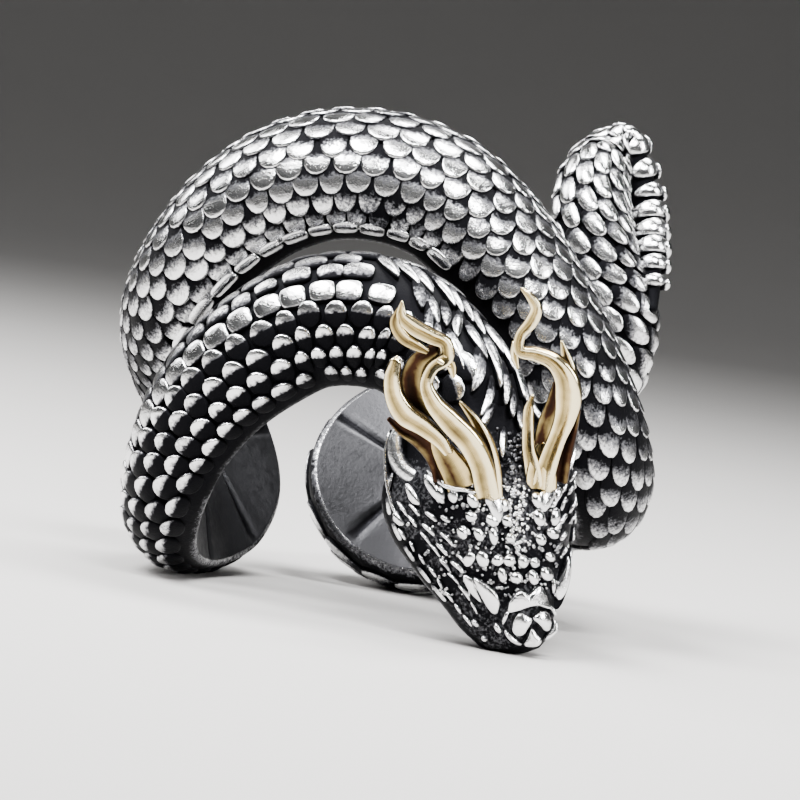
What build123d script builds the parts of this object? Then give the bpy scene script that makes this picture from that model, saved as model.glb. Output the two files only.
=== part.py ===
from build123d import *
from collections import namedtuple
import math
import os

# An open snake ring: one cast body in two bands round the finger, folded back on itself on the palm side, with a
# horned head in front and a tail standing up at the rear. The body is laid out as it is worn: X to the right, Y
# along the finger towards the hand, Z out through the ring's face. It is then turned to lie as it rests, on the
# chin and on the two palm-side bends, with +Z up.

# Finger and body, in millimetres
finger_diameter = 19.0
body_width = 6.7
body_height = 4.0
side_wall = 0.9
belly_bevel = 0.35
belly_groove = 0.14
band_spacing = 8.8

# Scales
scale_pitch = 1.5
scale_relief = 0.2
scale_rows = 12
scute_rings = 6

# Where the body gets small, its wall, groove, bevel and scales are at most these shares of its height and width
most_wall = 0.33
most_groove = 0.08
most_bevel = 0.125
most_relief = 0.06

# Head, measured along its own axis from the neck to the snout
head_length = 12.9
head_width = 9.8
head_height = 5.4
brow_rise = 0.7
brow_place = 42.0
brow_spread = 16.0
head_around = 20.0
head_reach = 6.2
head_lift = 0.9
head_turn = 13.5
head_droop = 25.5
head_roll = 27.0
tip_roundness = 0.3

# Tail, measured from the place where it leaves the rear band
tail_length = 11.0
tail_width = 4.0
tail_height = 3.2
curl_length = 9.6
curl_width = 1.35
curl_offset = 2.25
curl_bow = 0.9
curl_start = 0.35

# How far the centre line is looked along to find its direction
direction_step = 0.1

# Flame horns, standing on the head with a small clearance
horn_length = 9.6
horn_thickness = 0.95
horn_rise = 52.0
horn_sides = 8
horn_clearance = 0.2
horn_place = 0.39
left_horn_aside = -0.225
right_horn_aside = 0.077
rings_per_point = 3
foot_rings = 6

Station = namedtuple("Station", "around along lift width height")
TonguePoint = namedtuple("TonguePoint", "right up out width")
HeadSection = namedtuple("HeadSection", "share width height drop brow")
TailPoint = namedtuple("TailPoint", "out back up width height")

# The band from the neck to the foot of the tail: degrees round the finger from the middle of the ring's face, then
# shares of the band spacing towards the hand, of the body's height above the finger, and of its width and height.
BAND = (
    Station(13, -0.45, 0.10, 0.90, 0.98),
    Station(6, -0.29, 0.03, 0.96, 1.00),
    Station(-5, -0.19, 0.00, 1.00, 1.00),
    Station(-18, -0.17, 0.00, 1.00, 1.00),
    Station(-32, -0.25, 0.00, 1.00, 1.00),
    Station(-46, -0.35, 0.00, 1.00, 0.98),
    Station(-60, -0.47, -0.02, 1.00, 0.95),
    Station(-75, -0.59, -0.05, 0.98, 0.92),
    Station(-90, -0.61, -0.06, 0.96, 0.92),
    Station(-103, -0.54, -0.05, 0.92, 0.93),
    Station(-115, -0.41, -0.02, 0.90, 0.96),
    Station(-126, -0.20, 0.00, 0.90, 1.00),
    Station(-130, 0.04, 0.00, 0.90, 1.00),
    Station(-126, 0.27, 0.00, 0.90, 1.00),
    Station(-115, 0.45, 0.00, 0.92, 1.00),
    Station(-103, 0.52, 0.00, 0.96, 0.98),
    Station(-90, 0.53, 0.00, 1.00, 0.97),
    Station(-75, 0.53, 0.00, 1.00, 0.98),
    Station(-59, 0.59, 0.00, 1.00, 1.00),
    Station(-44, 0.70, 0.00, 1.00, 1.00),
    Station(-30, 0.78, 0.00, 1.00, 1.00),
    Station(-15, 0.81, 0.00, 1.00, 1.00),
    Station(0, 0.77, 0.00, 1.00, 1.00),
    Station(15, 0.66, 0.00, 1.00, 1.00),
    Station(29, 0.43, 0.00, 1.00, 1.00),
    Station(43, 0.12, 0.00, 1.00, 1.00),
    Station(57, -0.20, 0.00, 1.00, 1.00),
    Station(72, -0.43, 0.00, 1.00, 0.98),
    Station(88, -0.50, 0.00, 1.00, 0.95),
    Station(104, -0.35, 0.00, 0.97, 0.97),
    Station(120, -0.20, 0.00, 0.94, 1.00),
    Station(138, -0.16, 0.00, 0.92, 1.00),
    Station(156, -0.18, 0.00, 0.90, 1.00),
    Station(171, -0.17, 0.00, 0.90, 1.00),
    Station(182, -0.02, 0.00, 0.90, 1.00),
    Station(186, 0.20, 0.00, 0.90, 1.00),
    Station(182, 0.42, 0.00, 0.90, 1.00),
    Station(171, 0.59, 0.00, 0.90, 1.00),
    Station(156, 0.67, 0.00, 0.91, 1.00),
    Station(137, 0.65, 0.00, 0.90, 0.98),
    Station(119, 0.55, 0.03, 0.86, 0.94),
    Station(102, 0.48, 0.12, 0.80, 0.90),
)

# The head: shares of its length from the neck, of its width and height, the axis's drop as a share of its height,
# and the brow's rise.
HEAD = (
    HeadSection(0.00, 0.60, 0.76, 0.00, 0.0),
    HeadSection(0.12, 0.70, 0.84, 0.00, 0.1),
    HeadSection(0.24, 0.87, 0.94, 0.00, 0.6),
    HeadSection(0.36, 1.00, 1.00, 0.01, 1.0),
    HeadSection(0.47, 0.99, 0.98, 0.02, 0.8),
    HeadSection(0.58, 0.90, 0.91, 0.03, 0.3),
    HeadSection(0.70, 0.76, 0.80, 0.05, 0.0),
    HeadSection(0.82, 0.58, 0.68, 0.08, 0.0),
    HeadSection(0.92, 0.44, 0.56, 0.10, 0.0),
    HeadSection(0.98, 0.33, 0.44, 0.12, 0.0),
)

# The tail: shares of its length outwards, towards the hand and up from the band's end, then of its width and height.
TAIL = (
    TailPoint(0.04, 0.10, 0.19, 1.18, 1.10),
    TailPoint(-0.03, 0.29, 0.33, 1.06, 1.04),
    TailPoint(-0.08, 0.52, 0.42, 1.00, 1.00),
    TailPoint(-0.07, 0.74, 0.44, 0.88, 0.92),
    TailPoint(-0.02, 0.89, 0.40, 0.70, 0.78),
)

# The curled tip: shares of the curl's length back from the top of the tail, and of the tip's width.
CURL = (
    (0.00, 1.35),
    (0.18, 1.05),
    (0.40, 1.00),
    (0.62, 0.95),
    (0.80, 0.72),
    (0.93, 0.42),
)

# Where the tail's back faces at its foot, how that turns over its length, and where the curled tip's back faces
TAIL_FACING = Vector(0.8, 0.0, 0.6)
TAIL_TURNING = Vector(-1.0, -0.5, 0.0)
CURL_FACING = Vector(0.5, 0.2, 0.6)

# The tongues of each flame, as shares of the horn's length: to the right, up along the flame, out of its plane, and
# the tongue's width. Each horn's first tongue stands on the head, and the others grow from it.
LEFT_FLAME = (
    (
        TonguePoint(0.00, 0.00, 0.00, 0.130),
        TonguePoint(-0.02, 0.12, 0.03, 0.125),
        TonguePoint(-0.08, 0.26, 0.05, 0.125),
        TonguePoint(-0.18, 0.37, 0.06, 0.117),
        TonguePoint(-0.26, 0.48, 0.06, 0.090),
        TonguePoint(-0.295, 0.56, 0.05, 0.068),
        TonguePoint(-0.26, 0.64, 0.035, 0.066),
        TonguePoint(-0.195, 0.69, 0.025, 0.072),
        TonguePoint(-0.20, 0.755, 0.015, 0.070),
        TonguePoint(-0.275, 0.80, 0.02, 0.080),
        TonguePoint(-0.365, 0.86, 0.03, 0.080),
        TonguePoint(-0.415, 0.915, 0.035, 0.058),
        TonguePoint(-0.415, 0.98, 0.035, 0.020),
    ),
    (
        TonguePoint(0.026, 0.06, 0.00, 0.100),
        TonguePoint(0.015, 0.16, 0.00, 0.095),
        TonguePoint(-0.01, 0.26, 0.01, 0.080),
        TonguePoint(-0.05, 0.35, 0.01, 0.057),
        TonguePoint(-0.125, 0.45, 0.01, 0.020),
    ),
    (
        TonguePoint(-0.10, 0.05, -0.03, 0.160),
        TonguePoint(-0.15, 0.13, -0.03, 0.165),
        TonguePoint(-0.20, 0.22, -0.01, 0.130),
        TonguePoint(-0.28, 0.31, 0.02, 0.115),
        TonguePoint(-0.38, 0.39, 0.035, 0.125),
        TonguePoint(-0.45, 0.50, 0.035, 0.100),
        TonguePoint(-0.46, 0.60, 0.025, 0.080),
        TonguePoint(-0.45, 0.68, 0.015, 0.045),
    ),
    (
        TonguePoint(-0.29, 0.36, -0.01, 0.115),
        TonguePoint(-0.34, 0.46, -0.01, 0.130),
        TonguePoint(-0.36, 0.56, -0.01, 0.125),
        TonguePoint(-0.33, 0.65, -0.01, 0.105),
        TonguePoint(-0.25, 0.71, -0.01, 0.075),
    ),
)
RIGHT_FLAME = (
    (
        TonguePoint(0.00, 0.00, 0.00, 0.120),
        TonguePoint(0.045, 0.13, 0.015, 0.105),
        TonguePoint(0.08, 0.24, 0.03, 0.095),
        TonguePoint(0.115, 0.34, 0.047, 0.110),
        TonguePoint(0.128, 0.45, 0.052, 0.133),
        TonguePoint(0.115, 0.55, 0.047, 0.119),
        TonguePoint(0.055, 0.63, 0.036, 0.090),
        TonguePoint(-0.034, 0.667, 0.026, 0.077),
        TonguePoint(-0.115, 0.682, 0.021, 0.063),
        TonguePoint(-0.112, 0.755, 0.016, 0.052),
        TonguePoint(-0.06, 0.83, 0.02, 0.065),
        TonguePoint(-0.034, 0.90, 0.026, 0.058),
        TonguePoint(-0.07, 0.967, 0.026, 0.040),
        TonguePoint(-0.108, 1.003, 0.02, 0.020),
    ),
    (
        TonguePoint(-0.03, 0.06, 0.00, 0.088),
        TonguePoint(-0.065, 0.16, 0.005, 0.069),
        TonguePoint(-0.069, 0.29, 0.01, 0.059),
        TonguePoint(-0.065, 0.38, 0.01, 0.048),
        TonguePoint(-0.05, 0.435, 0.005, 0.020),
    ),
    (
        TonguePoint(0.15, 0.47, 0.03, 0.073),
        TonguePoint(0.137, 0.57, 0.03, 0.069),
        TonguePoint(0.112, 0.656, 0.026, 0.049),
        TonguePoint(0.094, 0.724, 0.02, 0.020),
    ),
    (
        TonguePoint(0.00, 0.13, -0.02, 0.094),
        TonguePoint(0.02, 0.26, -0.02, 0.094),
        TonguePoint(0.062, 0.40, -0.01, 0.083),
        TonguePoint(0.08, 0.50, 0.00, 0.050),
    ),
)


def spot(around, along, radius):
    """Place on a cylinder about the finger's axis."""
    angle = math.radians(around)
    return Vector(radius * math.sin(angle), along, radius * math.cos(angle))


def outward(around):
    """Direction straight out from the finger's axis."""
    return spot(around, 0.0, 1.0)


def band_place(station):
    """Middle of the body at a station of the band."""
    radius = (finger_diameter + body_height) / 2 + station.lift * body_height
    return spot(station.around, station.along * band_spacing, radius)


def band_rows():
    """Rows of place, back direction and size along the band. A size is a width, a height and a brow's rise."""
    rows = []
    for station in BAND:
        size = (station.width * body_width, station.height * body_height, 0.0)
        rows.append((band_place(station), outward(station.around), size))
    return rows


def head_frame():
    """Start, forward, sideways and upward directions of the head."""
    start = spot(head_around, -head_reach, (finger_diameter + body_height) / 2 + head_lift)
    turn = math.radians(head_turn)
    droop = math.radians(head_droop)
    forward = Vector(math.sin(turn) * math.cos(droop), -math.cos(turn) * math.cos(droop), -math.sin(droop))
    side = outward(head_roll).cross(forward).normalized()
    return start, forward, side, forward.cross(side)


def head_rows():
    """Rows for the head, from the snout back to the neck."""
    start, forward, side, up = head_frame()
    rows = []
    for section in reversed(HEAD):
        place = start + forward * (section.share * head_length) - up * (section.drop * head_height)
        size = (section.width * head_width, section.height * head_height, section.brow * brow_rise)
        rows.append((place, up, size))
    return rows


def tail_rows():
    """Rows for the tail, whose back turns inwards as it rises, and for its curled tip."""
    foot = band_place(BAND[-1])
    rows = []
    for point in TAIL:
        place = foot + Vector(point.out, point.back, point.up) * tail_length
        facing = TAIL_FACING + TAIL_TURNING * point.back
        rows.append((place, facing, (point.width * tail_width, point.height * tail_height, 0.0)))
    top = rows[-1][0]
    for share, size in CURL:
        bow = math.sqrt(min(1.0, 4 * share))
        offset = curl_offset * (curl_start + (1 - curl_start) * bow)
        place = top + Vector(offset, curl_bow * (1 - bow) - curl_length * share, -curl_bow * bow)
        rows.append((place, CURL_FACING, (size * curl_width, size * curl_width, 0.0)))
    return rows


def smooth(rows):
    """Cubic curve through the rows: returns its length and a function giving the row at a distance."""
    values = [(*place, *back, *size) for place, back, size in rows]
    knots = [0.0]
    for first, second in zip(rows, rows[1:]):
        knots.append(knots[-1] + (second[0] - first[0]).length)
    slopes = []
    for i in range(len(values)):
        low, high = max(i - 1, 0), min(i + 1, len(values) - 1)
        span = knots[high] - knots[low]
        if low < i < high:
            before, after = knots[i] - knots[low], knots[high] - knots[i]
            slopes.append([
                ((c - b) / after * before + (b - a) / before * after) / span
                for a, b, c in zip(values[low], values[i], values[high])
            ])
        else:
            slopes.append([(c - a) / span for a, c in zip(values[low], values[high])])

    def at(distance):
        i = 0
        while i < len(knots) - 2 and knots[i + 1] < distance:
            i += 1
        span = knots[i + 1] - knots[i]
        t = (distance - knots[i]) / span
        weights = (2 * t**3 - 3 * t**2 + 1, (t**3 - 2 * t**2 + t) * span, 3 * t**2 - 2 * t**3, (t**3 - t**2) * span)
        parts = zip(values[i], slopes[i], values[i + 1], slopes[i + 1])
        return [sum(w * v for w, v in zip(weights, part)) for part in parts]

    return knots[-1], at


def section(width, height, brow, index, relief):
    """Outline across the body: belly corner, dome of scales, belly corner, belly middle."""
    wall = min(side_wall, height * most_wall)
    bevel = min(belly_bevel, width * most_bevel)
    base = -height / 2
    groove = min(belly_groove, height * most_groove) if index % scute_rings == 0 else 0.0
    outline = [(-width / 2 + bevel, base)]
    for j in range(scale_rows + 1):
        angle = math.pi * (j / scale_rows - 0.5)
        raised = relief if 0 < j < scale_rows and (index + j) % 2 == 0 else 0.0
        ridge = brow * math.exp(-((abs(math.degrees(angle)) - brow_place) / brow_spread) ** 2)
        across = (width / 2 + raised) * math.sin(angle)
        outline.append((across, base + wall + (height - wall + raised) * math.cos(angle) + ridge))
    outline.append((width / 2 - bevel, base))
    outline.append((0.0, base + groove))
    return outline


def crosswise(at, distance, length, facing):
    """Sideways and upright directions across a curve, the upright one nearest to where its back faces."""
    near = min(distance + direction_step, length)
    ahead = Vector(*at(near)[:3]) - Vector(*at(near - 2 * direction_step)[:3])
    side = ahead.cross(facing).normalized()
    return side, side.cross(ahead).normalized()


def body_rings():
    """Rings of points round the body, from the snout to the tip of the tail."""
    length, at = smooth(head_rows() + band_rows() + tail_rows())
    count = round(length / (scale_pitch / 2))
    rings = []
    for index in range(count + 1):
        distance = length * index / count
        x, y, z, bx, by, bz, width, height, brow = at(distance)
        side, back = crosswise(at, distance, length, Vector(bx, by, bz))
        relief = min(scale_relief, width * most_relief)
        outline = section(width, height, brow, index, relief)
        rings.append([Vector(x, y, z) + side * a + back * b for a, b in outline])
    return rings


def middle_of(ring):
    """Centre of a ring of points."""
    return sum(ring, Vector()) / len(ring)


def blunt_tip(ring, inner):
    """End point of a rounded tip beyond the last ring."""
    reach = (middle_of(ring) - middle_of(inner)).normalized()
    return middle_of(ring) + reach * (ring[0] - ring[len(ring) // 2]).length * tip_roundness


def ring_facets(rings, first_tip, last_tip):
    """Triangles between the rings, with a fan from each end's tip."""
    facets = []
    round_count = len(rings[0])
    for i in range(len(rings) - 1):
        for j in range(round_count):
            k = (j + 1) % round_count
            a, b, c, d = rings[i][j], rings[i][k], rings[i + 1][k], rings[i + 1][j]
            if (i + j) % 2:
                facets += [(a, b, c), (a, c, d)]
            else:
                facets += [(a, b, d), (b, c, d)]
    for ring, tip in ((rings[0], first_tip), (rings[-1], last_tip)):
        for j in range(round_count):
            facets.append((tip, ring[(j + 1) % round_count], ring[j]))
    return facets


def faceted_solid(facets):
    """One closed solid from triangles."""
    faces = [Face(Wire.make_polygon(facet, close=True)) for facet in facets]
    return Solid(Shell(faces))


def seated(head, place):
    """The place, moved along the head's upward direction until it stands just clear of the scales there."""
    up = head_frame()[3]
    high = place.dot(up) - head_height
    for point in head:
        offset = point - place
        level = offset.dot(up)
        if (offset - up * level).length < scale_pitch / 2:
            high = max(high, point.dot(up))
    return place + up * (high + horn_clearance - place.dot(up))


def clear_of(head, place):
    """The place, moved up to its seat on the head if it lies below that."""
    seat = seated(head, place)
    return seat if (seat - place).dot(head_frame()[3]) > 0 else place


def tongue(points, foot, head):
    """One flame tongue: a closed loft of narrow rings that stays clear of the head."""
    rise = math.radians(horn_rise)
    right = Vector(1, 0, 0)
    along = Vector(0, math.cos(rise), math.sin(rise))
    out = right.cross(along)
    rows = []
    for point in points:
        place = foot + (right * point.right + along * point.up + out * point.out) * horn_length
        width = point.width * horn_length
        rows.append((place, out, (width, min(horn_thickness, width), 0.0)))
    length, at = smooth(rows)
    count = rings_per_point * (len(points) - 1)
    rings = []
    for index in range(count + 1):
        distance = length * index / count
        x, y, z, bx, by, bz, width, height, _ = at(distance)
        side, back = crosswise(at, distance, length, Vector(bx, by, bz))
        ring = []
        for corner in range(horn_sides):
            angle = 2 * math.pi * corner / horn_sides
            ring.append(Vector(x, y, z) + side * (width / 2 * math.cos(angle)) + back * (height / 2 * math.sin(angle)))
        rings.append(ring)
    for index in range(foot_rings):
        rings[index] = [clear_of(head, point) for point in rings[index]]
    first_tip = clear_of(head, middle_of(rings[0]))
    return faceted_solid(ring_facets(rings, first_tip, blunt_tip(rings[-1], rings[-2])))


def flame_horn(tongues, aside, head):
    """One flame: its tongues joined into a single solid standing on the head."""
    start, forward, side, _ = head_frame()
    foot = seated(head, start + forward * (horn_place * head_length) + side * (aside * head_width))
    horn = tongue(tongues[0], foot, head)
    for points in tongues[1:]:
        horn = horn.fuse(tongue(points, foot, head))
    return horn.solids()[0]


def lowest(points, up):
    """The point that lies furthest down."""
    return min(points, key=lambda point: point.dot(up))


def resting_up(rings):
    """Upward direction when the ring lies on the chin and on both palm-side bends."""
    points = [point for ring in rings for point in ring]
    head = [point for point in points if point.Y < -head_reach - body_width]
    palm = [point for point in points if point.Y > -head_reach - body_width and point.Z < 0]
    left = [point for point in palm if point.X < 0]
    right = [point for point in palm if point.X >= 0]
    up = Vector(0, 1, 1).normalized()
    for _ in range(20):
        chin, left_foot, right_foot = (lowest(group, up) for group in (head, left, right))
        normal = (right_foot - left_foot).cross(chin - left_foot).normalized()
        up = normal if normal.Z > 0 else -normal
    return up


def resting_place(solids, up):
    """Turn and shift that lay the solids down, head to the front, with the origin under their middle."""
    right = (Vector(1, 0, 0) - up * up.X).normalized()
    worn = Plane(origin=(0, 0, 0), x_dir=right, z_dir=up)
    laid = [worn.to_local_coords(solid) for solid in solids]
    box = Compound(laid).bounding_box()
    middle = box.center()
    return [solid.translate((-middle.X, -middle.Y, -box.min.Z)) for solid in laid]


def main():
    os.makedirs("parts", exist_ok=True)
    rings = body_rings()
    up = resting_up(rings)
    snout, tail_tip = blunt_tip(rings[0], rings[1]), blunt_tip(rings[-1], rings[-2])
    head = [point for ring in rings for point in ring if point.Y < -head_reach]
    nodes = {
        "snake_band": faceted_solid(ring_facets(rings, snout, tail_tip)),
        "left_flame_horn": flame_horn(LEFT_FLAME, left_horn_aside, head),
        "right_flame_horn": flame_horn(RIGHT_FLAME, right_horn_aside, head),
    }
    print("resting up", tuple(round(v, 4) for v in up))
    for name, solid in zip(nodes, resting_place(list(nodes.values()), up)):
        print(name, len(solid.faces()), solid.is_valid, round(solid.volume, 2), len(solid.solids()))
        export_step(solid, f"parts/{name}.step")


main()
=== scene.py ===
"""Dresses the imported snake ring: scaly oxidised silver body, carved head, curled tail and two flame horns.

The ring is laid out as it is worn, in millimetres (X to the right, Y along the finger towards the hand, Z out
through the ring's face), and is then turned to the way it rests on its chin and its two palm-side bends.
"""

from __future__ import annotations

import logging
import math
from dataclasses import dataclass, field, replace
from enum import Enum
from typing import NamedTuple, Sequence

import bpy
import numpy as np
from mathutils import Matrix, Vector
from mathutils.bvhtree import BVHTree

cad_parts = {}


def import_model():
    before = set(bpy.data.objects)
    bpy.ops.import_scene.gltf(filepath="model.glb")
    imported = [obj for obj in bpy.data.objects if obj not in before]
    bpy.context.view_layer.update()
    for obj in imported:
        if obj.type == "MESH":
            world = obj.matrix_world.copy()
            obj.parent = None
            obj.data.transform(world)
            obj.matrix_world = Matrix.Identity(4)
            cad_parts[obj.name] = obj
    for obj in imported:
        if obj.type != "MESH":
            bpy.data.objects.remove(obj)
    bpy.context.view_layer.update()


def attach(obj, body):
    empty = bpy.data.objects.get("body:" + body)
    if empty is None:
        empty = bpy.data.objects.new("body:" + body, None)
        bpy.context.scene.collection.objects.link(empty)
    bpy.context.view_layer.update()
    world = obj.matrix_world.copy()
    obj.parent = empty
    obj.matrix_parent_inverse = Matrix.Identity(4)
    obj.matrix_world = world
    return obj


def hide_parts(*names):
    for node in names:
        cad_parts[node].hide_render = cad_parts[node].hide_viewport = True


LOG = logging.getLogger("snake_ring")
MM = 0.001
CAD_NODE = "snake_band"
SILVER_SLOT = "oxidised_silver"
GOLD_SLOT = "pale_gold"
# Length of the head's carved face along the centre line, in millimetres.
HEAD_END = 14.0
# Height in metres under which points are pressed together, so that none goes below the floor.
FLOOR_PRESS = 0.0001
# Elevation in degrees of the side that the head's face turns to, which the camera looks from as well.
FACING_RISE = 58.0


class Station(NamedTuple):
    """A place on the band: degrees round the finger, share of the band spacing, lift, width and height."""

    around: float
    along: float
    lift: float
    width: float
    height: float


class HeadSection(NamedTuple):
    """A section of the head, as shares of its length, width and height, with its drop and its brow's rise."""

    share: float
    width: float
    height: float
    drop: float
    brow: float


class TailPoint(NamedTuple):
    """A place on the tail, as shares of its length, width and height."""

    out: float
    back: float
    up: float
    width: float
    height: float


class RibbonPoint(NamedTuple):
    """A place on a flame ribbon in millimetres from the horn's foot: right, up, out, and width."""

    right: float
    up: float
    out: float
    width: float


BAND: tuple[Station, ...] = (
    Station(13, -0.45, 0.10, 0.90, 0.98),
    Station(6, -0.29, 0.03, 0.96, 1.00),
    Station(-5, -0.19, 0.00, 1.00, 1.00),
    Station(-18, -0.17, 0.00, 1.00, 1.00),
    Station(-32, -0.25, 0.00, 1.00, 1.00),
    Station(-46, -0.35, 0.00, 1.00, 0.98),
    Station(-60, -0.47, -0.02, 1.00, 0.95),
    Station(-75, -0.59, -0.05, 0.98, 0.92),
    Station(-90, -0.61, -0.06, 0.96, 0.92),
    Station(-103, -0.54, -0.05, 0.92, 0.93),
    Station(-115, -0.41, -0.02, 0.90, 0.96),
    Station(-126, -0.20, 0.00, 0.90, 1.00),
    Station(-130, 0.04, 0.00, 0.90, 1.00),
    Station(-126, 0.27, 0.00, 0.90, 1.00),
    Station(-115, 0.45, 0.00, 0.92, 1.00),
    Station(-103, 0.52, 0.00, 0.96, 0.98),
    Station(-90, 0.53, 0.00, 1.00, 0.97),
    Station(-75, 0.53, 0.00, 1.00, 0.98),
    Station(-59, 0.59, 0.00, 1.00, 1.00),
    Station(-44, 0.70, 0.00, 1.00, 1.00),
    Station(-30, 0.78, 0.00, 1.00, 1.00),
    Station(-15, 0.81, 0.00, 1.00, 1.00),
    Station(0, 0.77, 0.00, 1.00, 1.00),
    Station(15, 0.66, 0.00, 1.00, 1.00),
    Station(29, 0.43, 0.00, 1.00, 1.00),
    Station(43, 0.12, 0.00, 1.00, 1.00),
    Station(57, -0.20, 0.00, 1.00, 1.00),
    Station(72, -0.43, 0.00, 1.00, 0.98),
    Station(88, -0.50, 0.00, 1.00, 0.95),
    Station(104, -0.35, 0.00, 0.97, 0.97),
    Station(120, -0.20, 0.00, 0.94, 1.00),
    Station(138, -0.16, 0.00, 0.92, 1.00),
    Station(156, -0.18, 0.00, 0.90, 1.00),
    Station(171, -0.17, 0.00, 0.90, 1.00),
    Station(182, -0.02, 0.00, 0.90, 1.00),
    Station(186, 0.20, 0.00, 0.90, 1.00),
    Station(182, 0.42, 0.00, 0.90, 1.00),
    Station(171, 0.59, 0.00, 0.90, 1.00),
    Station(156, 0.67, 0.00, 0.91, 1.00),
    Station(137, 0.65, 0.00, 0.90, 0.98),
    Station(119, 0.55, 0.03, 0.86, 0.94),
    Station(102, 0.48, 0.12, 0.80, 0.90),
)

HEAD: tuple[HeadSection, ...] = (
    HeadSection(0.00, 0.60, 0.76, 0.00, 0.0),
    HeadSection(0.12, 0.70, 0.84, 0.00, 0.1),
    HeadSection(0.24, 0.87, 0.94, 0.00, 0.6),
    HeadSection(0.36, 1.00, 1.00, 0.01, 1.0),
    HeadSection(0.47, 0.99, 0.98, 0.02, 0.8),
    HeadSection(0.58, 0.90, 0.91, 0.03, 0.3),
    HeadSection(0.70, 0.76, 0.80, 0.05, 0.0),
    HeadSection(0.82, 0.58, 0.68, 0.08, 0.0),
    HeadSection(0.92, 0.44, 0.56, 0.10, 0.0),
    HeadSection(0.98, 0.33, 0.44, 0.12, 0.0),
)

TAIL: tuple[TailPoint, ...] = (
    TailPoint(0.04, 0.10, 0.19, 1.18, 1.10),
    TailPoint(-0.03, 0.29, 0.33, 1.06, 1.04),
    TailPoint(-0.08, 0.52, 0.42, 1.00, 1.00),
    TailPoint(-0.07, 0.74, 0.44, 0.88, 0.92),
    TailPoint(-0.02, 0.89, 0.40, 0.70, 0.78),
)

CURL: tuple[tuple[float, float], ...] = (
    (0.00, 1.35),
    (0.18, 1.05),
    (0.40, 1.00),
    (0.62, 0.95),
    (0.80, 0.72),
    (0.93, 0.42),
)


@dataclass(frozen=True)
class BodySizes:
    """Named sizes of the ring, in millimetres and degrees."""

    finger_diameter: float = 19.0
    body_width: float = 6.7
    body_height: float = 4.0
    side_wall: float = 0.9
    belly_bevel: float = 0.35
    band_spacing: float = 8.8
    head_length: float = 12.9
    head_width: float = 9.8
    head_height: float = 5.4
    brow_rise: float = 0.7
    brow_place: float = 42.0
    brow_spread: float = 16.0
    head_around: float = 20.0
    head_reach: float = 6.2
    head_lift: float = 0.9
    head_turn: float = 13.5
    head_droop: float = 25.5
    head_roll: float = 27.0
    tail_length: float = 11.0
    tail_width: float = 4.0
    tail_height: float = 3.2
    curl_length: float = 9.6
    curl_width: float = 1.35
    curl_offset: float = 2.25
    curl_bow: float = 0.9
    curl_start: float = 0.35
    wall_share: float = 0.33

    def wall(self, height: np.ndarray) -> np.ndarray:
        """Height of the straight side walls where the body has this height."""
        return np.minimum(self.side_wall, height * self.wall_share)


@dataclass(frozen=True)
class RestingFrame:
    """The turn and the shift that lay the worn ring down."""

    right: tuple[float, float, float] = (0.988719, -0.12196, -0.08695)
    rear: tuple[float, float, float] = (0.0, 0.580512, -0.814252)
    up: tuple[float, float, float] = (0.149782, 0.805066, 0.573963)
    shift: tuple[float, float, float] = (0.045, 2.906, 10.033)

    def place(self, worn: np.ndarray) -> np.ndarray:
        """Worn points in millimetres, as resting points in metres.

        Args:
            worn: points in the worn frame, one a row.

        Returns:
            The same points in the row frame.
        """
        turn = np.array([self.right, self.rear, self.up])
        return (worn @ turn.T + np.array(self.shift)) * MM

    def direction(self, worn: Sequence[float]) -> Vector:
        """A worn direction, turned to the row frame."""
        return Vector(np.array([self.right, self.rear, self.up]) @ np.array(worn, float))


REST = RestingFrame()


def unit(vectors: np.ndarray) -> np.ndarray:
    """The vectors, each made one long."""
    return vectors / np.maximum(np.linalg.norm(vectors, axis=-1, keepdims=True), 1e-9)


def ease(value: np.ndarray, low: float, high: float) -> np.ndarray:
    """Smooth step from 0 at low to 1 at high."""
    share = np.clip((value - low) / (high - low), 0.0, 1.0)
    return share * share * (3 - 2 * share)


def facing_axes() -> tuple[np.ndarray, np.ndarray, np.ndarray]:
    """Right, upward and facing directions of the head's face, in the worn frame.

    Returns:
        Three unit vectors: right, up, and out towards the camera.
    """
    rise = math.radians(FACING_RISE)
    return (
        np.array([1.0, 0.0, 0.0]), np.array([0.0, math.sin(rise), math.cos(rise)]),
        np.array([0.0, -math.cos(rise), math.sin(rise)]))


@dataclass
class Curve:
    """A smooth curve through rows of values, measured by the distance between their first three."""

    rows: np.ndarray
    knots: np.ndarray = field(init=False)
    slopes: np.ndarray = field(init=False)

    def __post_init__(self) -> None:
        """Measures the knots and works out the slopes."""
        steps = np.linalg.norm(np.diff(self.rows[:, :3], axis=0), axis=1)
        self.knots = np.concatenate([[0.0], np.cumsum(steps)])
        slopes = np.empty_like(self.rows)
        rises = np.diff(self.rows, axis=0) / steps[:, None]
        slopes[0], slopes[-1] = rises[0], rises[-1]
        before, after = steps[:-1, None], steps[1:, None]
        slopes[1:-1] = (rises[1:] * before + rises[:-1] * after) / (before + after)
        self.slopes = slopes

    @property
    def length(self) -> float:
        """Length of the run of knots."""
        return float(self.knots[-1])

    def at(self, distance: np.ndarray) -> np.ndarray:
        """Values at each distance.

        Args:
            distance: distances along the curve.

        Returns:
            One row of values for each distance.
        """
        distance = np.asarray(distance, float)
        index = np.clip(np.searchsorted(self.knots, distance, side="right") - 1, 0, len(self.knots) - 2)
        span = (self.knots[index + 1] - self.knots[index])[..., None]
        t = (distance - self.knots[index])[..., None] / span
        return (
            (2 * t**3 - 3 * t**2 + 1) * self.rows[index]
            + (t**3 - 2 * t**2 + t) * span * self.slopes[index]
            + (3 * t**2 - 2 * t**3) * self.rows[index + 1]
            + (t**3 - t**2) * span * self.slopes[index + 1]
        )


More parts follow.
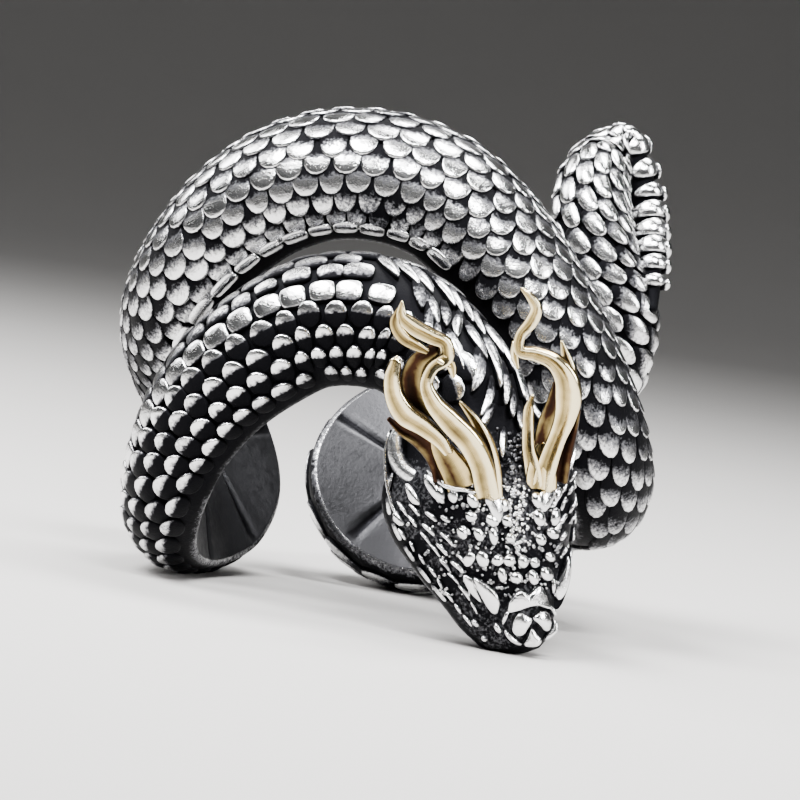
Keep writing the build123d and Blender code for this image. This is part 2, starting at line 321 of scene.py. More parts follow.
@dataclass
class SnakePath:
    """Centre line of the snake from snout to tail tip, with its section at each place."""

    sizes: BodySizes = BodySizes()
    tail_lean: tuple[float, float, float] = (0.8, -0.5, 0.6)
    curl_lean: tuple[float, float, float] = (0.5, 0.2, 0.6)
    tangent_reach: float = 0.1
    curve: Curve = field(init=False)

    def __post_init__(self) -> None:
        """Joins the head's, the band's and the tail's rows into one curve."""
        self.curve = Curve(np.array(self.head_rows() + self.band_rows() + self.tail_rows(), float))

    @staticmethod
    def outward(around: float) -> np.ndarray:
        """Direction straight out from the finger's axis."""
        angle = math.radians(around)
        return np.array([math.sin(angle), 0.0, math.cos(angle)])

    def head_axes(self) -> tuple[np.ndarray, np.ndarray, np.ndarray]:
        """Start of the head, and its forward and upward directions.

        Returns:
            The start in millimetres and two unit vectors.
        """
        size = self.sizes
        radius = (size.finger_diameter + size.body_height) / 2 + size.head_lift
        start = self.outward(size.head_around) * radius + np.array([0.0, -size.head_reach, 0.0])
        turn, droop = math.radians(size.head_turn), math.radians(size.head_droop)
        forward = np.array([
            math.sin(turn) * math.cos(droop), -math.cos(turn) * math.cos(droop), -math.sin(droop)])
        side = unit(np.cross(self.outward(size.head_roll), forward))
        return start, forward, np.cross(forward, side)

    def head_rows(self) -> list[np.ndarray]:
        """Rows of place, back direction, width, height and brow, from snout to neck.

        Returns:
            One row of nine numbers for each section of the head.
        """
        size = self.sizes
        start, forward, up = self.head_axes()
        rows = []
        for part in reversed(HEAD):
            place = start + forward * (part.share * size.head_length) - up * (part.drop * size.head_height)
            rows.append(np.concatenate([place, up, [
                part.width * size.head_width, part.height * size.head_height, part.brow * size.brow_rise]]))
        return rows

    def band_place(self, station: Station) -> np.ndarray:
        """Middle of the body at a station of the band.

        Args:
            station: the place on the band.

        Returns:
            Its middle in millimetres.
        """
        size = self.sizes
        radius = (size.finger_diameter + size.body_height) / 2 + station.lift * size.body_height
        return self.outward(station.around) * radius + np.array([0.0, station.along * size.band_spacing, 0.0])

    def band_rows(self) -> list[np.ndarray]:
        """Rows of place, back direction, width, height and no brow along the band.

        Returns:
            One row of nine numbers for each station.
        """
        size = self.sizes
        return [
            np.concatenate([self.band_place(s), self.outward(s.around), [
                s.width * size.body_width, s.height * size.body_height, 0.0]])
            for s in BAND
        ]

    def tail_rows(self) -> list[np.ndarray]:
        """Rows of the tail and its curled tip.

        Returns:
            One row of nine numbers for each place on the tail and the curl.
        """
        size = self.sizes
        foot = self.band_place(BAND[-1])
        over, along, high = self.tail_lean
        rows = []
        for point in TAIL:
            place = foot + np.array([point.out, point.back, point.up]) * size.tail_length
            rows.append(np.concatenate([place, [over - point.back, along * point.back, high], [
                point.width * size.tail_width, point.height * size.tail_height, 0.0]]))
        top = rows[-1][:3]
        for share, wide in CURL:
            bow = math.sqrt(min(1.0, 4 * share))
            place = top + np.array([
                size.curl_offset * (size.curl_start + (1 - size.curl_start) * bow),
                size.curl_bow * (1 - bow) - size.curl_length * share,
                -size.curl_bow * bow])
            rows.append(np.concatenate([place, self.curl_lean, [
                wide * size.curl_width, wide * size.curl_width, 0.0]]))
        return rows

    def frame(self, distance: np.ndarray) -> tuple[np.ndarray, np.ndarray, np.ndarray, np.ndarray]:
        """Row, forward, side and back direction at each distance.

        Args:
            distance: millimetres from the snout along the centre line.

        Returns:
            The curve's rows and three sets of unit vectors.
        """
        row = self.curve.at(distance)
        near = np.minimum(distance + self.tangent_reach, self.curve.length)
        ahead = unit(self.curve.at(near)[..., :3] - self.curve.at(near - 2 * self.tangent_reach)[..., :3])
        side = unit(np.cross(ahead, row[..., 3:6]))
        return row, ahead, side, unit(np.cross(side, ahead))

    def surface(self, distance: np.ndarray, angle: np.ndarray, lift: np.ndarray) -> np.ndarray:
        """Points on the snake's back.

        Args:
            distance: millimetres along the centre line, from the snout.
            angle: radians across the back from its ridge, positive to the side direction.
            lift: millimetres above the smooth back.

        Returns:
            Points in the worn frame.
        """
        size = self.sizes
        row, _, side, back = self.frame(distance)
        width, height, brow = row[..., 6], row[..., 7], row[..., 8]
        wall = size.wall(height)
        ridge = brow * np.exp(-(((np.abs(np.degrees(angle)) - size.brow_place) / size.brow_spread) ** 2))
        across = (width / 2 + lift) * np.sin(angle)
        level = -height / 2 + wall + (height - wall + lift) * np.cos(angle) + ridge
        return row[..., :3] + side * across[..., None] + back * level[..., None]


class Nodes:
    """A material's node tree with short calls for the nodes used here."""

    def __init__(self, name: str) -> None:
        """Makes the material and keeps its shader.

        Args:
            name: the material's name.
        """
        self.material = bpy.data.materials.new(name)
        self.material.use_nodes = True
        self.tree = self.material.node_tree
        self.shader = self.tree.nodes["Principled BSDF"]
        self.place = self.tree.nodes.new("ShaderNodeTexCoord").outputs["Object"]

    def link(self, source: bpy.types.NodeSocket, target: bpy.types.NodeSocket) -> None:
        """Links one socket to another."""
        self.tree.links.new(source, target)

    def attribute(self, name: str) -> bpy.types.NodeSocket:
        """Value of a mesh attribute.

        Args:
            name: the attribute's name.

        Returns:
            The output that carries it.
        """
        node = self.tree.nodes.new("ShaderNodeAttribute")
        node.attribute_name = name
        return node.outputs["Fac"]

    def noise(self, size: float, detail: float = 3.0, rough: float = 0.55) -> bpy.types.NodeSocket:
        """Noise whose lumps are about size metres across.

        Args:
            size: size of a lump in metres.
            detail: how many finer layers it has.
            rough: how much the finer layers count.

        Returns:
            The output that carries it.
        """
        node = self.tree.nodes.new("ShaderNodeTexNoise")
        node.inputs["Scale"].default_value = 1.0 / size
        node.inputs["Detail"].default_value = detail
        node.inputs["Roughness"].default_value = rough
        self.link(self.place, node.inputs["Vector"])
        return node.outputs["Fac"]

    def scratches(self, size: float, stretch: float) -> bpy.types.NodeSocket:
        """Noise drawn out in one direction, for polishing lines.

        Args:
            size: width of a line in metres.
            stretch: scale along the lines.

        Returns:
            The output that carries it.
        """
        mapping = self.tree.nodes.new("ShaderNodeMapping")
        mapping.inputs["Scale"].default_value = (1.0, stretch, 1.0)
        mapping.inputs["Rotation"].default_value = (0.4, 0.3, 0.6)
        self.link(self.place, mapping.inputs["Vector"])
        node = self.tree.nodes.new("ShaderNodeTexNoise")
        node.inputs["Scale"].default_value = 1.0 / size
        node.inputs["Detail"].default_value = 2.0
        self.link(mapping.outputs["Vector"], node.inputs["Vector"])
        return node.outputs["Fac"]

    def maths(self, kind: str, first: object, second: object) -> bpy.types.NodeSocket:
        """One arithmetic step on sockets or numbers.

        Args:
            kind: the operation's name.
            first: a socket or a number.
            second: a socket or a number.

        Returns:
            The output that carries it.
        """
        node = self.tree.nodes.new("ShaderNodeMath")
        node.operation = kind
        for socket, value in zip(node.inputs, (first, second)):
            if isinstance(value, bpy.types.NodeSocket):
                self.link(value, socket)
            else:
                socket.default_value = value
        return node.outputs["Value"]

    def ramp(self, source: bpy.types.NodeSocket,
             stops: Sequence[tuple[float, Sequence[float]]]) -> bpy.types.NodeSocket:
        """Colours along a value, from stops of position and colour.

        Args:
            source: the value.
            stops: position and colour of each stop.

        Returns:
            The output that carries it.
        """
        node = self.tree.nodes.new("ShaderNodeValToRGB")
        elements = node.color_ramp.elements
        while len(elements) < len(stops):
            elements.new(0.5)
        for element, (position, colour) in zip(elements, stops):
            element.position = position
            element.color = (*colour, 1.0)
        self.link(source, node.inputs["Fac"])
        return node.outputs["Color"]

    def sway(self, source: bpy.types.NodeSocket, amount: float) -> bpy.types.NodeSocket:
        """A noise moved to lie either side of nought, times an amount."""
        return self.maths("MULTIPLY", self.maths("SUBTRACT", source, 0.5), amount)

    def metal(self, colour: bpy.types.NodeSocket, rough: bpy.types.NodeSocket, height: bpy.types.NodeSocket,
              depth: float) -> bpy.types.Material:
        """Dresses the shader as metal.

        Args:
            colour: its colour.
            rough: its roughness.
            height: height of its grain, from 0 to 1.
            depth: depth of its grain in metres.

        Returns:
            The material.
        """
        self.link(colour, self.shader.inputs["Base Color"])
        self.link(rough, self.shader.inputs["Roughness"])
        self.shader.inputs["Metallic"].default_value = 1.0
        bump = self.tree.nodes.new("ShaderNodeBump")
        bump.inputs["Distance"].default_value = depth
        self.link(height, bump.inputs["Height"])
        self.link(bump.outputs["Normal"], self.shader.inputs["Normal"])
        return self.material


def grey(value: float) -> tuple[float, float, float]:
    """A neutral colour."""
    return (value, value, value)


@dataclass(frozen=True)
class OxidisedSilver:
    """Silver whose raised faces are polished and whose hollows are black with oxide; where a piece lowers its
    polish value, the darker tones are painted shade.
    """

    name: str = "oxidised_silver_scales"
    bright: tuple[float, float, float] = (0.96, 0.96, 0.96)
    tarnish_and_shade: tuple[float, float, float] = (0.13, 0.13, 0.14)
    black: tuple[float, float, float] = (0.005, 0.005, 0.006)
    smooth: float = 0.16
    matt: float = 0.68
    worn: float = 1.5
    speckle: float = 1.7
    grain_depth: float = 0.00002

    def build(self) -> bpy.types.Material:
        """Makes the material.

        Returns:
            The new material.
        """
        nodes = Nodes(self.name)
        polish_and_shade = nodes.attribute("polish_and_shade")
        patches = nodes.noise(0.0020, 4.0, 0.6)
        grain = nodes.noise(0.00016, 3.0, 0.7)
        worn = nodes.maths("MULTIPLY", nodes.maths("SUBTRACT", 0.5, patches), self.worn)
        loss = nodes.maths("MAXIMUM", worn, 0.0)
        speck = nodes.sway(grain, self.speckle)
        fall = nodes.maths("MULTIPLY", polish_and_shade, 1.9)
        share = nodes.maths("MULTIPLY", polish_and_shade, nodes.maths("SUBTRACT", 2.2, fall))
        part = nodes.maths("MULTIPLY", speck, nodes.maths("ADD", share, 0.12))
        level = nodes.maths("ADD", nodes.maths("SUBTRACT", polish_and_shade, loss), part)
        # Low levels give black oxide and tarnish, and also painted shade where a piece lowers the polish
        # value to paint it.
        colour = nodes.ramp(level, (
            (0.16, self.black), (0.40, self.tarnish_and_shade), (0.62, grey(0.55)), (0.85, self.bright)))
        rough = nodes.ramp(level, (
            (0.15, grey(self.matt)), (0.5, grey(self.smooth + 0.12)), (0.9, grey(self.smooth))))
        bumps = nodes.maths("ADD", grain, nodes.scratches(0.0005, 0.15))
        return nodes.metal(colour, rough, bumps, self.grain_depth)


@dataclass(frozen=True)
class BellySilver:
    """Satin silver of the flat belly, dark in its grooves, with a painted highlight in its rim colour beside
    each groove.
    """

    name: str = "satin_belly_silver"
    satin: tuple[float, float, float] = (0.042, 0.042, 0.045)
    rim: tuple[float, float, float] = (0.30, 0.30, 0.31)
    black: tuple[float, float, float] = (0.006, 0.006, 0.007)
    rough: float = 0.42
    clouding: float = 0.35
    grain_depth: float = 0.000014

    def build(self) -> bpy.types.Material:
        """Makes the material.

        Returns:
            The new material.
        """
        nodes = Nodes(self.name)
        clouds = nodes.sway(nodes.noise(0.0011, 4.0), self.clouding)
        level = nodes.maths("ADD", nodes.attribute("polish_and_shade"), clouds)
        # The rim colour is a painted highlight beside each groove.
        colour = nodes.ramp(level, (
            (0.2, self.black), (0.46, self.satin), (0.68, self.satin), (0.95, self.rim)))
        rough = nodes.ramp(nodes.noise(0.0004), (
            (0.3, grey(self.rough - 0.06)), (0.7, grey(self.rough + 0.08))))
        bumps = nodes.maths("ADD", nodes.noise(0.00018), nodes.noise(0.0011))
        return nodes.metal(colour, rough, bumps, self.grain_depth)


@dataclass(frozen=True)
class PaleGold:
    """Polished pale yellow gold; its warm, shade, brown and black stops paint shade in its hollows, on its
    undersides and along its edges.
    """

    name: str = "pale_gold_polish"
    bright: tuple[float, float, float] = (1.0, 0.86, 0.52)
    # warm, shade, brown and black are shaded copies of the gold, used to paint shade.
    warm: tuple[float, float, float] = (0.62, 0.46, 0.20)
    shade: tuple[float, float, float] = (0.24, 0.18, 0.07)
    brown: tuple[float, float, float] = (0.035, 0.015, 0.008)
    black: tuple[float, float, float] = (0.008, 0.006, 0.005)
    smooth: float = 0.17
    clouding: float = 0.6
    speckle: float = 0.15
    grain_depth: float = 0.000012

    def build(self) -> bpy.types.Material:
        """Makes the material.

        Returns:
            The new material.
        """
        nodes = Nodes(self.name)
        grain = nodes.noise(0.0003, 3.0)
        clouds = nodes.sway(nodes.noise(0.0016, 2.0), self.clouding)
        flecks = nodes.maths("ADD", clouds, nodes.sway(grain, self.speckle))
        level = nodes.maths("ADD", nodes.attribute("polish_and_shade"), flecks)
        colour = nodes.ramp(level, (
            (0.10, self.black), (0.28, self.brown), (0.48, self.shade), (0.72, self.warm),
            (0.96, self.bright)))
        rough = nodes.ramp(level, ((0.1, grey(0.5)), (0.4, grey(0.34)), (0.8, grey(self.smooth))))
        bumps = nodes.maths("ADD", grain, nodes.scratches(0.0006, 0.2))
        return nodes.metal(colour, rough, bumps, self.grain_depth)


@dataclass(frozen=True)
class FloorPaint:
    """Plain pale paint of the floor and the sweep behind."""

    name: str = "pale_floor"
    colour: tuple[float, float, float] = (0.42, 0.41, 0.40)
    lighter: float = 1.03
    rough: float = 0.7

    def build(self) -> bpy.types.Material:
        """Makes the material.

        Returns:
            The new material.
        """
        nodes = Nodes(self.name)
        light = tuple(part * self.lighter for part in self.colour)
        colour = nodes.ramp(nodes.noise(0.05), ((0.3, self.colour), (0.7, light)))
        nodes.link(colour, nodes.shader.inputs["Base Color"])
        nodes.shader.inputs["Roughness"].default_value = self.rough
        return nodes.material


@dataclass
class MeshBuilder:
    """Gathers points, faces and their polish for one piece."""

    points: list[np.ndarray] = field(default_factory=list)
    polish_and_shade: list[np.ndarray] = field(default_factory=list)
    faces: list[np.ndarray] = field(default_factory=list)
    kinds: list[np.ndarray] = field(default_factory=list)
    count: int = 0

    def add_points(self, points: np.ndarray, polish_and_shade: np.ndarray) -> int:
        """Adds points.

        Args:
            points: worn points in millimetres.
            polish_and_shade: how bright each point is painted, from 0 to 1: its polish against black oxide,
                and painted shade or highlight where a piece sets it so.

        Returns:
            The number of the first of them.
        """
        start = self.count
        self.points.append(points.reshape(-1, 3))
        self.polish_and_shade.append(polish_and_shade.reshape(-1))
        self.count += len(self.points[-1])
        return start

    def add_faces(self, faces: np.ndarray, kind: int = 0) -> None:
        """Adds faces between points that are there, in one of the piece's materials."""
        self.faces.append(faces)
        self.kinds.append(np.full(len(faces), kind))

    def add(self, points: np.ndarray, faces: np.ndarray, polish_and_shade: np.ndarray) -> None:
        """Adds points with the faces between them.

        Args:
            points: worn points in millimetres.
            faces: rows of three or four point numbers, counted from 0 in these points.
            polish_and_shade: how bright each point is painted, from 0 to 1: its polish against black oxide,
                and painted shade or highlight where a piece sets it so.
        """
        self.add_faces(faces + self.add_points(points, polish_and_shade))

    def build(self, name: str, materials: Sequence[bpy.types.Material], slot: str,
              replaces: Sequence[str] = ()) -> bpy.types.Object:
        """Makes the piece, riding on the ring.

        Args:
            name: the piece's name.
            materials: its materials, by kind.
            slot: the record's material slot; not used.
            replaces: CAD nodes that the piece stands for.

        Returns:
            The new object.
        """
        mesh = bpy.data.meshes.new(name)
        points = REST.place(np.concatenate(self.points))
        deep = points[:, 2] < FLOOR_PRESS
        points[deep, 2] = FLOOR_PRESS * np.exp(points[deep, 2] / FLOOR_PRESS - 1)
        faces = [face for group in self.faces for face in group.tolist()]
        mesh.from_pydata(points.tolist(), [], faces)
        mesh.update()
        mesh.polygons.foreach_set("use_smooth", [True] * len(mesh.polygons))
        mesh.polygons.foreach_set("material_index", np.concatenate(self.kinds).astype(np.int32))
        # This attribute paints brightness: polish against black oxide, and painted shade or highlight where a
        # piece sets it so.
        attribute = mesh.attributes.new("polish_and_shade", "FLOAT", "POINT")
        attribute.data.foreach_set("value", np.concatenate(self.polish_and_shade).astype(np.float32))
        for material in materials:
            mesh.materials.append(material)
        piece = bpy.data.objects.new(name, mesh)
        bpy.context.scene.collection.objects.link(piece)
        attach(piece, "root")
        if replaces:
            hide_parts(*replaces)
        triangles = sum(len(face) - 2 for face in faces)
        LOG.info("%s: %d points, %d triangles", name, len(points), triangles)
        return piece


def tube_faces(rows: int, columns: int) -> np.ndarray:
    """Quads of a grid of points whose last column joins its first.

    Args:
        rows: rows of points along the tube.
        columns: points round it.

    Returns:
        Rows of four point numbers.
    """
    i = np.arange(rows - 1)[:, None]
    j = np.arange(columns)[None, :]
    k = (j + 1) % columns
    quads = np.stack([i * columns + j, i * columns + k, (i + 1) * columns + k, (i + 1) * columns + j], -1)
    return quads.reshape(-1, 4)


def halves(quads: np.ndarray) -> np.ndarray:
    """Quads cut into triangles."""
    return np.concatenate([quads[:, [0, 1, 2]], quads[:, [0, 2, 3]]])


def ring_quads(first: int, second: int, count: int) -> np.ndarray:
    """Quads between two rings of points that start at these numbers.

    Args:
        first: number of the first ring's first point.
        second: the same of the second ring.
        count: points in each.

    Returns:
        Rows of four point numbers.
    """
    j = np.arange(count)
    k = (j + 1) % count
    return np.stack([first + j, second + j, second + k, first + k], -1)


def ring_fan(first: int, count: int, hub: int) -> np.ndarray:
    """Triangles from a hub to each edge of a ring of points."""
    j = np.arange(count)
    return np.stack([np.full(count, hub), first + j, first + (j + 1) % count], -1)


def plate_faces(count: int, rings: int) -> np.ndarray:
    """Triangles of a closed plate: a middle point, rings of points round it and a point underneath.

    Args:
        count: points in each ring.
        rings: how many rings.

    Returns:
        Rows of three point numbers.
    """
    last = 1 + (rings - 1) * count
    return np.concatenate([
        ring_fan(1, count, 0),
        *(halves(ring_quads(1 + ring * count, 1 + (ring + 1) * count, count)) for ring in range(rings - 1)),
        ring_fan(last, count, last + count)[:, [0, 2, 1]]])


class TipForm(Enum):
    """Outline of a scale: exponents of its tip end and its root end."""

    ROUND = (2.2, 3.0)
    LEAF = (1.45, 2.2)
    BEAD = (2.0, 2.3)
    BRICK = (3.4, 3.4)
    PEBBLE = (1.9, 1.9)


Amount = float | np.ndarray


@dataclass(frozen=True)
class ScaleStyle:
    """Shape of one kind of scale, in millimetres; any amount may be a number or one number for each scale."""

    form: TipForm
    length: Amount
    width: Amount
    lift: Amount = 0.26
    tilt: Amount = 0.6
    crown: Amount = 0.35
    keel: Amount = 0.0
    dark: Amount = -0.9
    clear: Amount = 0.2
    sink: float = 0.18
    polish_and_shade: Amount = 1.0


@dataclass
class ScaleMaker:
    """Lays scales on the snake's back, each a closed plate of rings."""

    path: SnakePath
    rings: tuple[float, ...] = (0.0, 0.50, 0.83, 0.91, 1.0, 1.0)
    rise: tuple[float, ...] = (1.0, 1.0, 0.99, 0.93, 0.5, 0.0)
    shine: tuple[float, ...] = (1.0, 1.0, 1.0, 0.9, -0.1, -0.1)
    corners: int = 16
    least_stretch: float = 0.42
    stretch_step: float = 0.25
    end_fall: float = 0.35

    def template(self, form: TipForm) -> tuple[np.ndarray, np.ndarray, np.ndarray]:
        """Places in a scale of half length and half width 1: towards the tip, across, and the ring of each.

        Args:
            form: how its tip and its root are rounded.

        Returns:
            Three rows with one number for each point of a scale.
        """
        theta = np.linspace(0, 2 * math.pi, self.corners, endpoint=False)
        c, s = np.cos(theta), np.sin(theta)
        power = np.where(c > 0, 2 / form.value[0], 2 / form.value[1])
        x = np.sign(c) * np.abs(c) ** power
        y = np.sign(s) * np.abs(s) ** power
        rings = np.array(self.rings[1:])
        last = len(self.rings) - 1
        ring = np.concatenate([[0], np.repeat(np.arange(1, last + 1), self.corners), [last]])
        return (
            np.concatenate([[0.0], (rings[:, None] * x).ravel(), [0.0]]),
            np.concatenate([[0.0], (rings[:, None] * y).ravel(), [0.0]]),
            ring,
        )

    def stretch(self, distance: np.ndarray, angle: np.ndarray) -> np.ndarray:
        """Millimetres on the back for each millimetre along the centre line.

        Args:
            distance: places along the body, in millimetres.
            angle: places across the back, in radians.

        Returns:
            One number for each place, small where the body folds in on itself.
        """
        none = np.zeros_like(distance)
        further = np.minimum(distance + self.stretch_step, self.path.curve.length)
        ahead = self.path.surface(further, angle, none)
        behind = self.path.surface(np.maximum(distance - self.stretch_step, 0.0), angle, none)
        forward = self.path.frame(distance)[1]
        return np.sum((ahead - behind) * forward, axis=-1) / (2 * self.stretch_step)

    def lay(self, builder: MeshBuilder, style: ScaleStyle, distance: np.ndarray, angle: np.ndarray,
            lean: Amount) -> None:
        """Adds one scale at each place, but none where the body folds in on itself.

        Args:
            builder: the piece that gets them.
            style: their shape.
            distance: their middles along the body, in millimetres.
            angle: their middles across the back, in radians.
            lean: directions of their tips, in radians from tailwards to the positive side.
        """
        distance, angle = np.atleast_1d(np.asarray(distance, float)), np.atleast_1d(np.asarray(angle, float))
        keep = self.stretch(distance, angle) > self.least_stretch
        distance, angle = distance[keep], angle[keep]
        if not len(distance):
            return

        def each(value: Amount) -> np.ndarray:
            """An amount for each scale that is kept."""
            return np.broadcast_to(np.asarray(value, float), keep.shape)[keep][:, None]

        x, y, ring = self.template(style.form)
        turn = each(lean)
        a = x * each(style.length) / 2
        b = y * each(style.width) / 2
        along = a * np.cos(turn) - b * np.sin(turn)
        across = a * np.sin(turn) + b * np.cos(turn)
        row = self.path.curve.at(distance)
        radius = (row[:, 6] / 2 + row[:, 7] - self.path.sizes.wall(row[:, 7])) / 2
        tilt, crown, keel = each(style.tilt), each(style.crown), each(style.keel)
        slope = (1 - tilt) + tilt * (x + 1) / 2
        dome = 1 - crown * ((1 - keel) * y**2 + keel * np.abs(y) + self.end_fall * x**2)
        lift = each(style.lift) * slope * dome * np.array(self.rise)[ring]
        lift[:, ring == len(self.rings) - 1] = -style.sink
        along = np.clip(distance[:, None] + along, 0.0, self.path.curve.length)
        points = self.path.surface(along, angle[:, None] + across / radius[:, None], lift)
        # The dark root is oxide under the row above, and painted shade where a key sets its end far towards
        # the tip.
        fade = ease((x - each(style.dark)) / (each(style.clear) - each(style.dark)), 0.0, 1.0)
        polish_and_shade = each(style.polish_and_shade) * fade * np.array(self.shine)[ring]
        base = plate_faces(self.corners, len(self.rings) - 1)
        faces = (base[None] + (np.arange(len(distance)) * len(x))[:, None, None]).reshape(-1, 3)
        builder.add(points, faces, polish_and_shade)


@dataclass
class SnakeSkin:
    """The smooth body under the scales: black back, side walls and the satin belly with its grooves."""

    path: SnakePath
    step: float = 0.18
    back_columns: int = 32
    belly_columns: int = 11
    sunk: float = 0.1
    back_polish: float = 0.19
    back_polish_ends: tuple[float, float] = (9.0, 11.5)
    belly_polish: float = 0.55
    belly_reach: float = 0.97
    groove_pitch: float = 4.492
    groove_depth: float = 0.2
    groove_width: float = 0.36
    groove_starts: tuple[float, float] = (11.0, 14.0)
    groove_ends: tuple[float, float] = (136.0, 139.0)
    groove_edge: float = 0.35
    rim_highlight: float = 0.2
    cap_shares: tuple[float, ...] = (0.5, 0.85)
    cap_bulge: float = 0.35

    def grooves(self, distance: np.ndarray) -> tuple[np.ndarray, np.ndarray]:
        """How deep in a groove each distance lies, and how strong the painted highlight beside a groove's rim
        is there, both from 0 to 1.

        Args:
            distance: millimetres along the centre line.

        Returns:
            The two shares for each distance.
        """
        phase = np.abs((distance + self.groove_pitch / 2) % self.groove_pitch - self.groove_pitch / 2)
        plain = 1 - ease(distance, *self.groove_starts) + ease(distance, *self.groove_ends)
        cut = np.exp(-((phase / (self.groove_width / 2)) ** 2)) * (1 - plain)
        rim = np.exp(-(((phase - self.groove_width) / (self.groove_width * 0.25)) ** 2)) * (1 - plain)
        return cut, rim

    def rings(self) -> tuple[np.ndarray, np.ndarray, np.ndarray]:
        """Points of the rings, their polish, and whether each column belongs to the belly.

        Returns:
            Points by ring and column, polish by ring and column, and one flag a column.
        """
        path, size = self.path, self.path.sizes
        distance = np.linspace(0, path.curve.length, round(path.curve.length / self.step) + 1)
        row, _, side, back = path.frame(distance)
        width, height = row[:, 6], row[:, 7]
        bevel = np.minimum(size.belly_bevel, width / 8)
        low, plain = -height / 2, np.zeros(len(distance))
        columns, polish_and_shade, belly = [], [], []

        def column(across: np.ndarray, level: np.ndarray, shine: np.ndarray, under: bool) -> None:
            """Adds one column of points beside the centre line.

            Args:
                across: millimetres to the side, for each ring.
                level: millimetres up.
                shine: how bright it is painted: its polish, and the painted highlight beside the grooves.
                under: whether it belongs to the belly.
            """
            columns.append(row[:, :3] + side * across[:, None] + back * level[:, None])
            polish_and_shade.append(shine)
            belly.append(under)

        # Each side from the belly's rim up: inset, level, polish, and whether it bounds the belly.
        flank = (
            (bevel, low, 0.5, True), (bevel * 0.25, low + bevel * 0.4, 0.3, False),
            (plain, low + size.wall(height) * 0.55, 0.05, False))
        for inset, level, shine, under in flank:
            column(inset - width / 2, level, plain + shine, under)
        angles = np.radians(np.linspace(-90, 90, self.back_columns))
        sunk = np.minimum(self.sunk, width / 30)
        dome = path.surface(
            np.repeat(distance[:, None], self.back_columns, 1), np.repeat(angles[None], len(distance), 0),
            -sunk[:, None] * np.cos(angles) ** 0.5)
        columns += [dome[:, k] for k in range(self.back_columns)]
        polish_and_shade += [self.back_polish * (1 - ease(distance, *self.back_polish_ends))] * self.back_columns
        belly += [False] * self.back_columns
        for inset, level, shine, under in reversed(flank):
            column(width / 2 - inset, level, plain + shine, under)
        cut, rim = self.grooves(distance)
        for share in np.linspace(self.belly_reach, -self.belly_reach, self.belly_columns):
            inner = 1 - ease(np.array(abs(share)), 0.8, self.belly_reach)
            deep = np.minimum(self.groove_depth, height / 12) * cut * (
                self.groove_edge + (1 - self.groove_edge) * inner)
            # The rim term paints a highlight beside each groove.
            shine = self.belly_polish - self.belly_polish * cut + self.rim_highlight * rim
            column((width / 2 - bevel) * share, low + deep, shine, True)
        return np.stack(columns, 1), np.stack(polish_and_shade, 1), np.array(belly)

    def cap(self, builder: MeshBuilder, ring: np.ndarray, inner: np.ndarray, first: int, flip: bool) -> None:
        """Rounds off one end of the skin.

        Args:
            builder: the skin.
            ring: points of its end ring.
            inner: points of the ring before it.
            first: number of the end ring's first point.
            flip: whether the faces turn the other way.
        """
        count, middle = len(ring), ring.mean(0)
        bulge = unit(middle - inner.mean(0)) * np.linalg.norm(ring - middle, axis=1).mean() * self.cap_bulge
        turns = [share * math.pi / 2 for share in self.cap_shares]
        loops = [middle + (ring - middle) * math.cos(turn) + bulge * math.sin(turn) for turn in turns]
        dull = np.zeros(len(loops) * count + 1)
        start = builder.add_points(np.concatenate([*loops, [middle + bulge]]), dull)
        order = slice(None, None, -1 if flip else 1)
        for outer, nearer in ((first, start), (start, start + count)):
            builder.add_faces(ring_quads(outer, nearer, count)[:, order])
        builder.add_faces(ring_fan(start + count, count, start + 2 * count)[:, [1, 0, 2]][:, order])

    def build(self, silver: bpy.types.Material, satin: bpy.types.Material) -> bpy.types.Object:
        """Makes the skin, which stands for the CAD body.

        Args:
            silver: material of the oxidised silver.
            satin: material of the belly.

        Returns:
            The new object.
        """
        points, polish_and_shade, belly = self.rings()
        builder = MeshBuilder()
        rows, columns = points.shape[:2]
        faces = tube_faces(rows, columns)
        kinds = np.tile(belly & np.roll(belly, -1), rows - 1)
        builder.add(points, faces[~kinds], polish_and_shade)
        builder.add_faces(faces[kinds], 1)
        self.cap(builder, points[0], points[1], 0, False)
        self.cap(builder, points[-1], points[-2], (rows - 1) * columns, True)
        return builder.build("snake_skin", (silver, satin), SILVER_SLOT, (CAD_NODE,))


class CoatKey(NamedTuple):
    """How a coat's scales lie at a distance: degrees of lean, length, width, keel, end of the dark root,
    which is oxide near the root and painted shade where it reaches far towards the tip.
    """

    distance: float
    lean: float
    length: float
    width: float
    keel: float
    clear: float


@dataclass(frozen=True)
class Coat:
    """A lattice of scales over a stretch of the body, between two angles, whose shape follows its keys."""

    start: float
    end: float
    low: float
    high: float
    rows: int
    pitch: float
    style: ScaleStyle
    keys: tuple[CoatKey, ...]
    wobble: float = 0.035
    shift: float = 0.0
    worn: float = 0.08


@dataclass(frozen=True)
class PaintedShadePatch:
    """A place where the scales are painted darker, as shade and dark reflection: its distance and angle, and
    how far it reaches each way.
    """

    distance: float
    angle: float
    long: float
    wide: float
    loss: float


TILE = ScaleStyle(TipForm.ROUND, 1.78, 1.32, 0.30, tilt=0.80, crown=0.22, dark=-0.40)
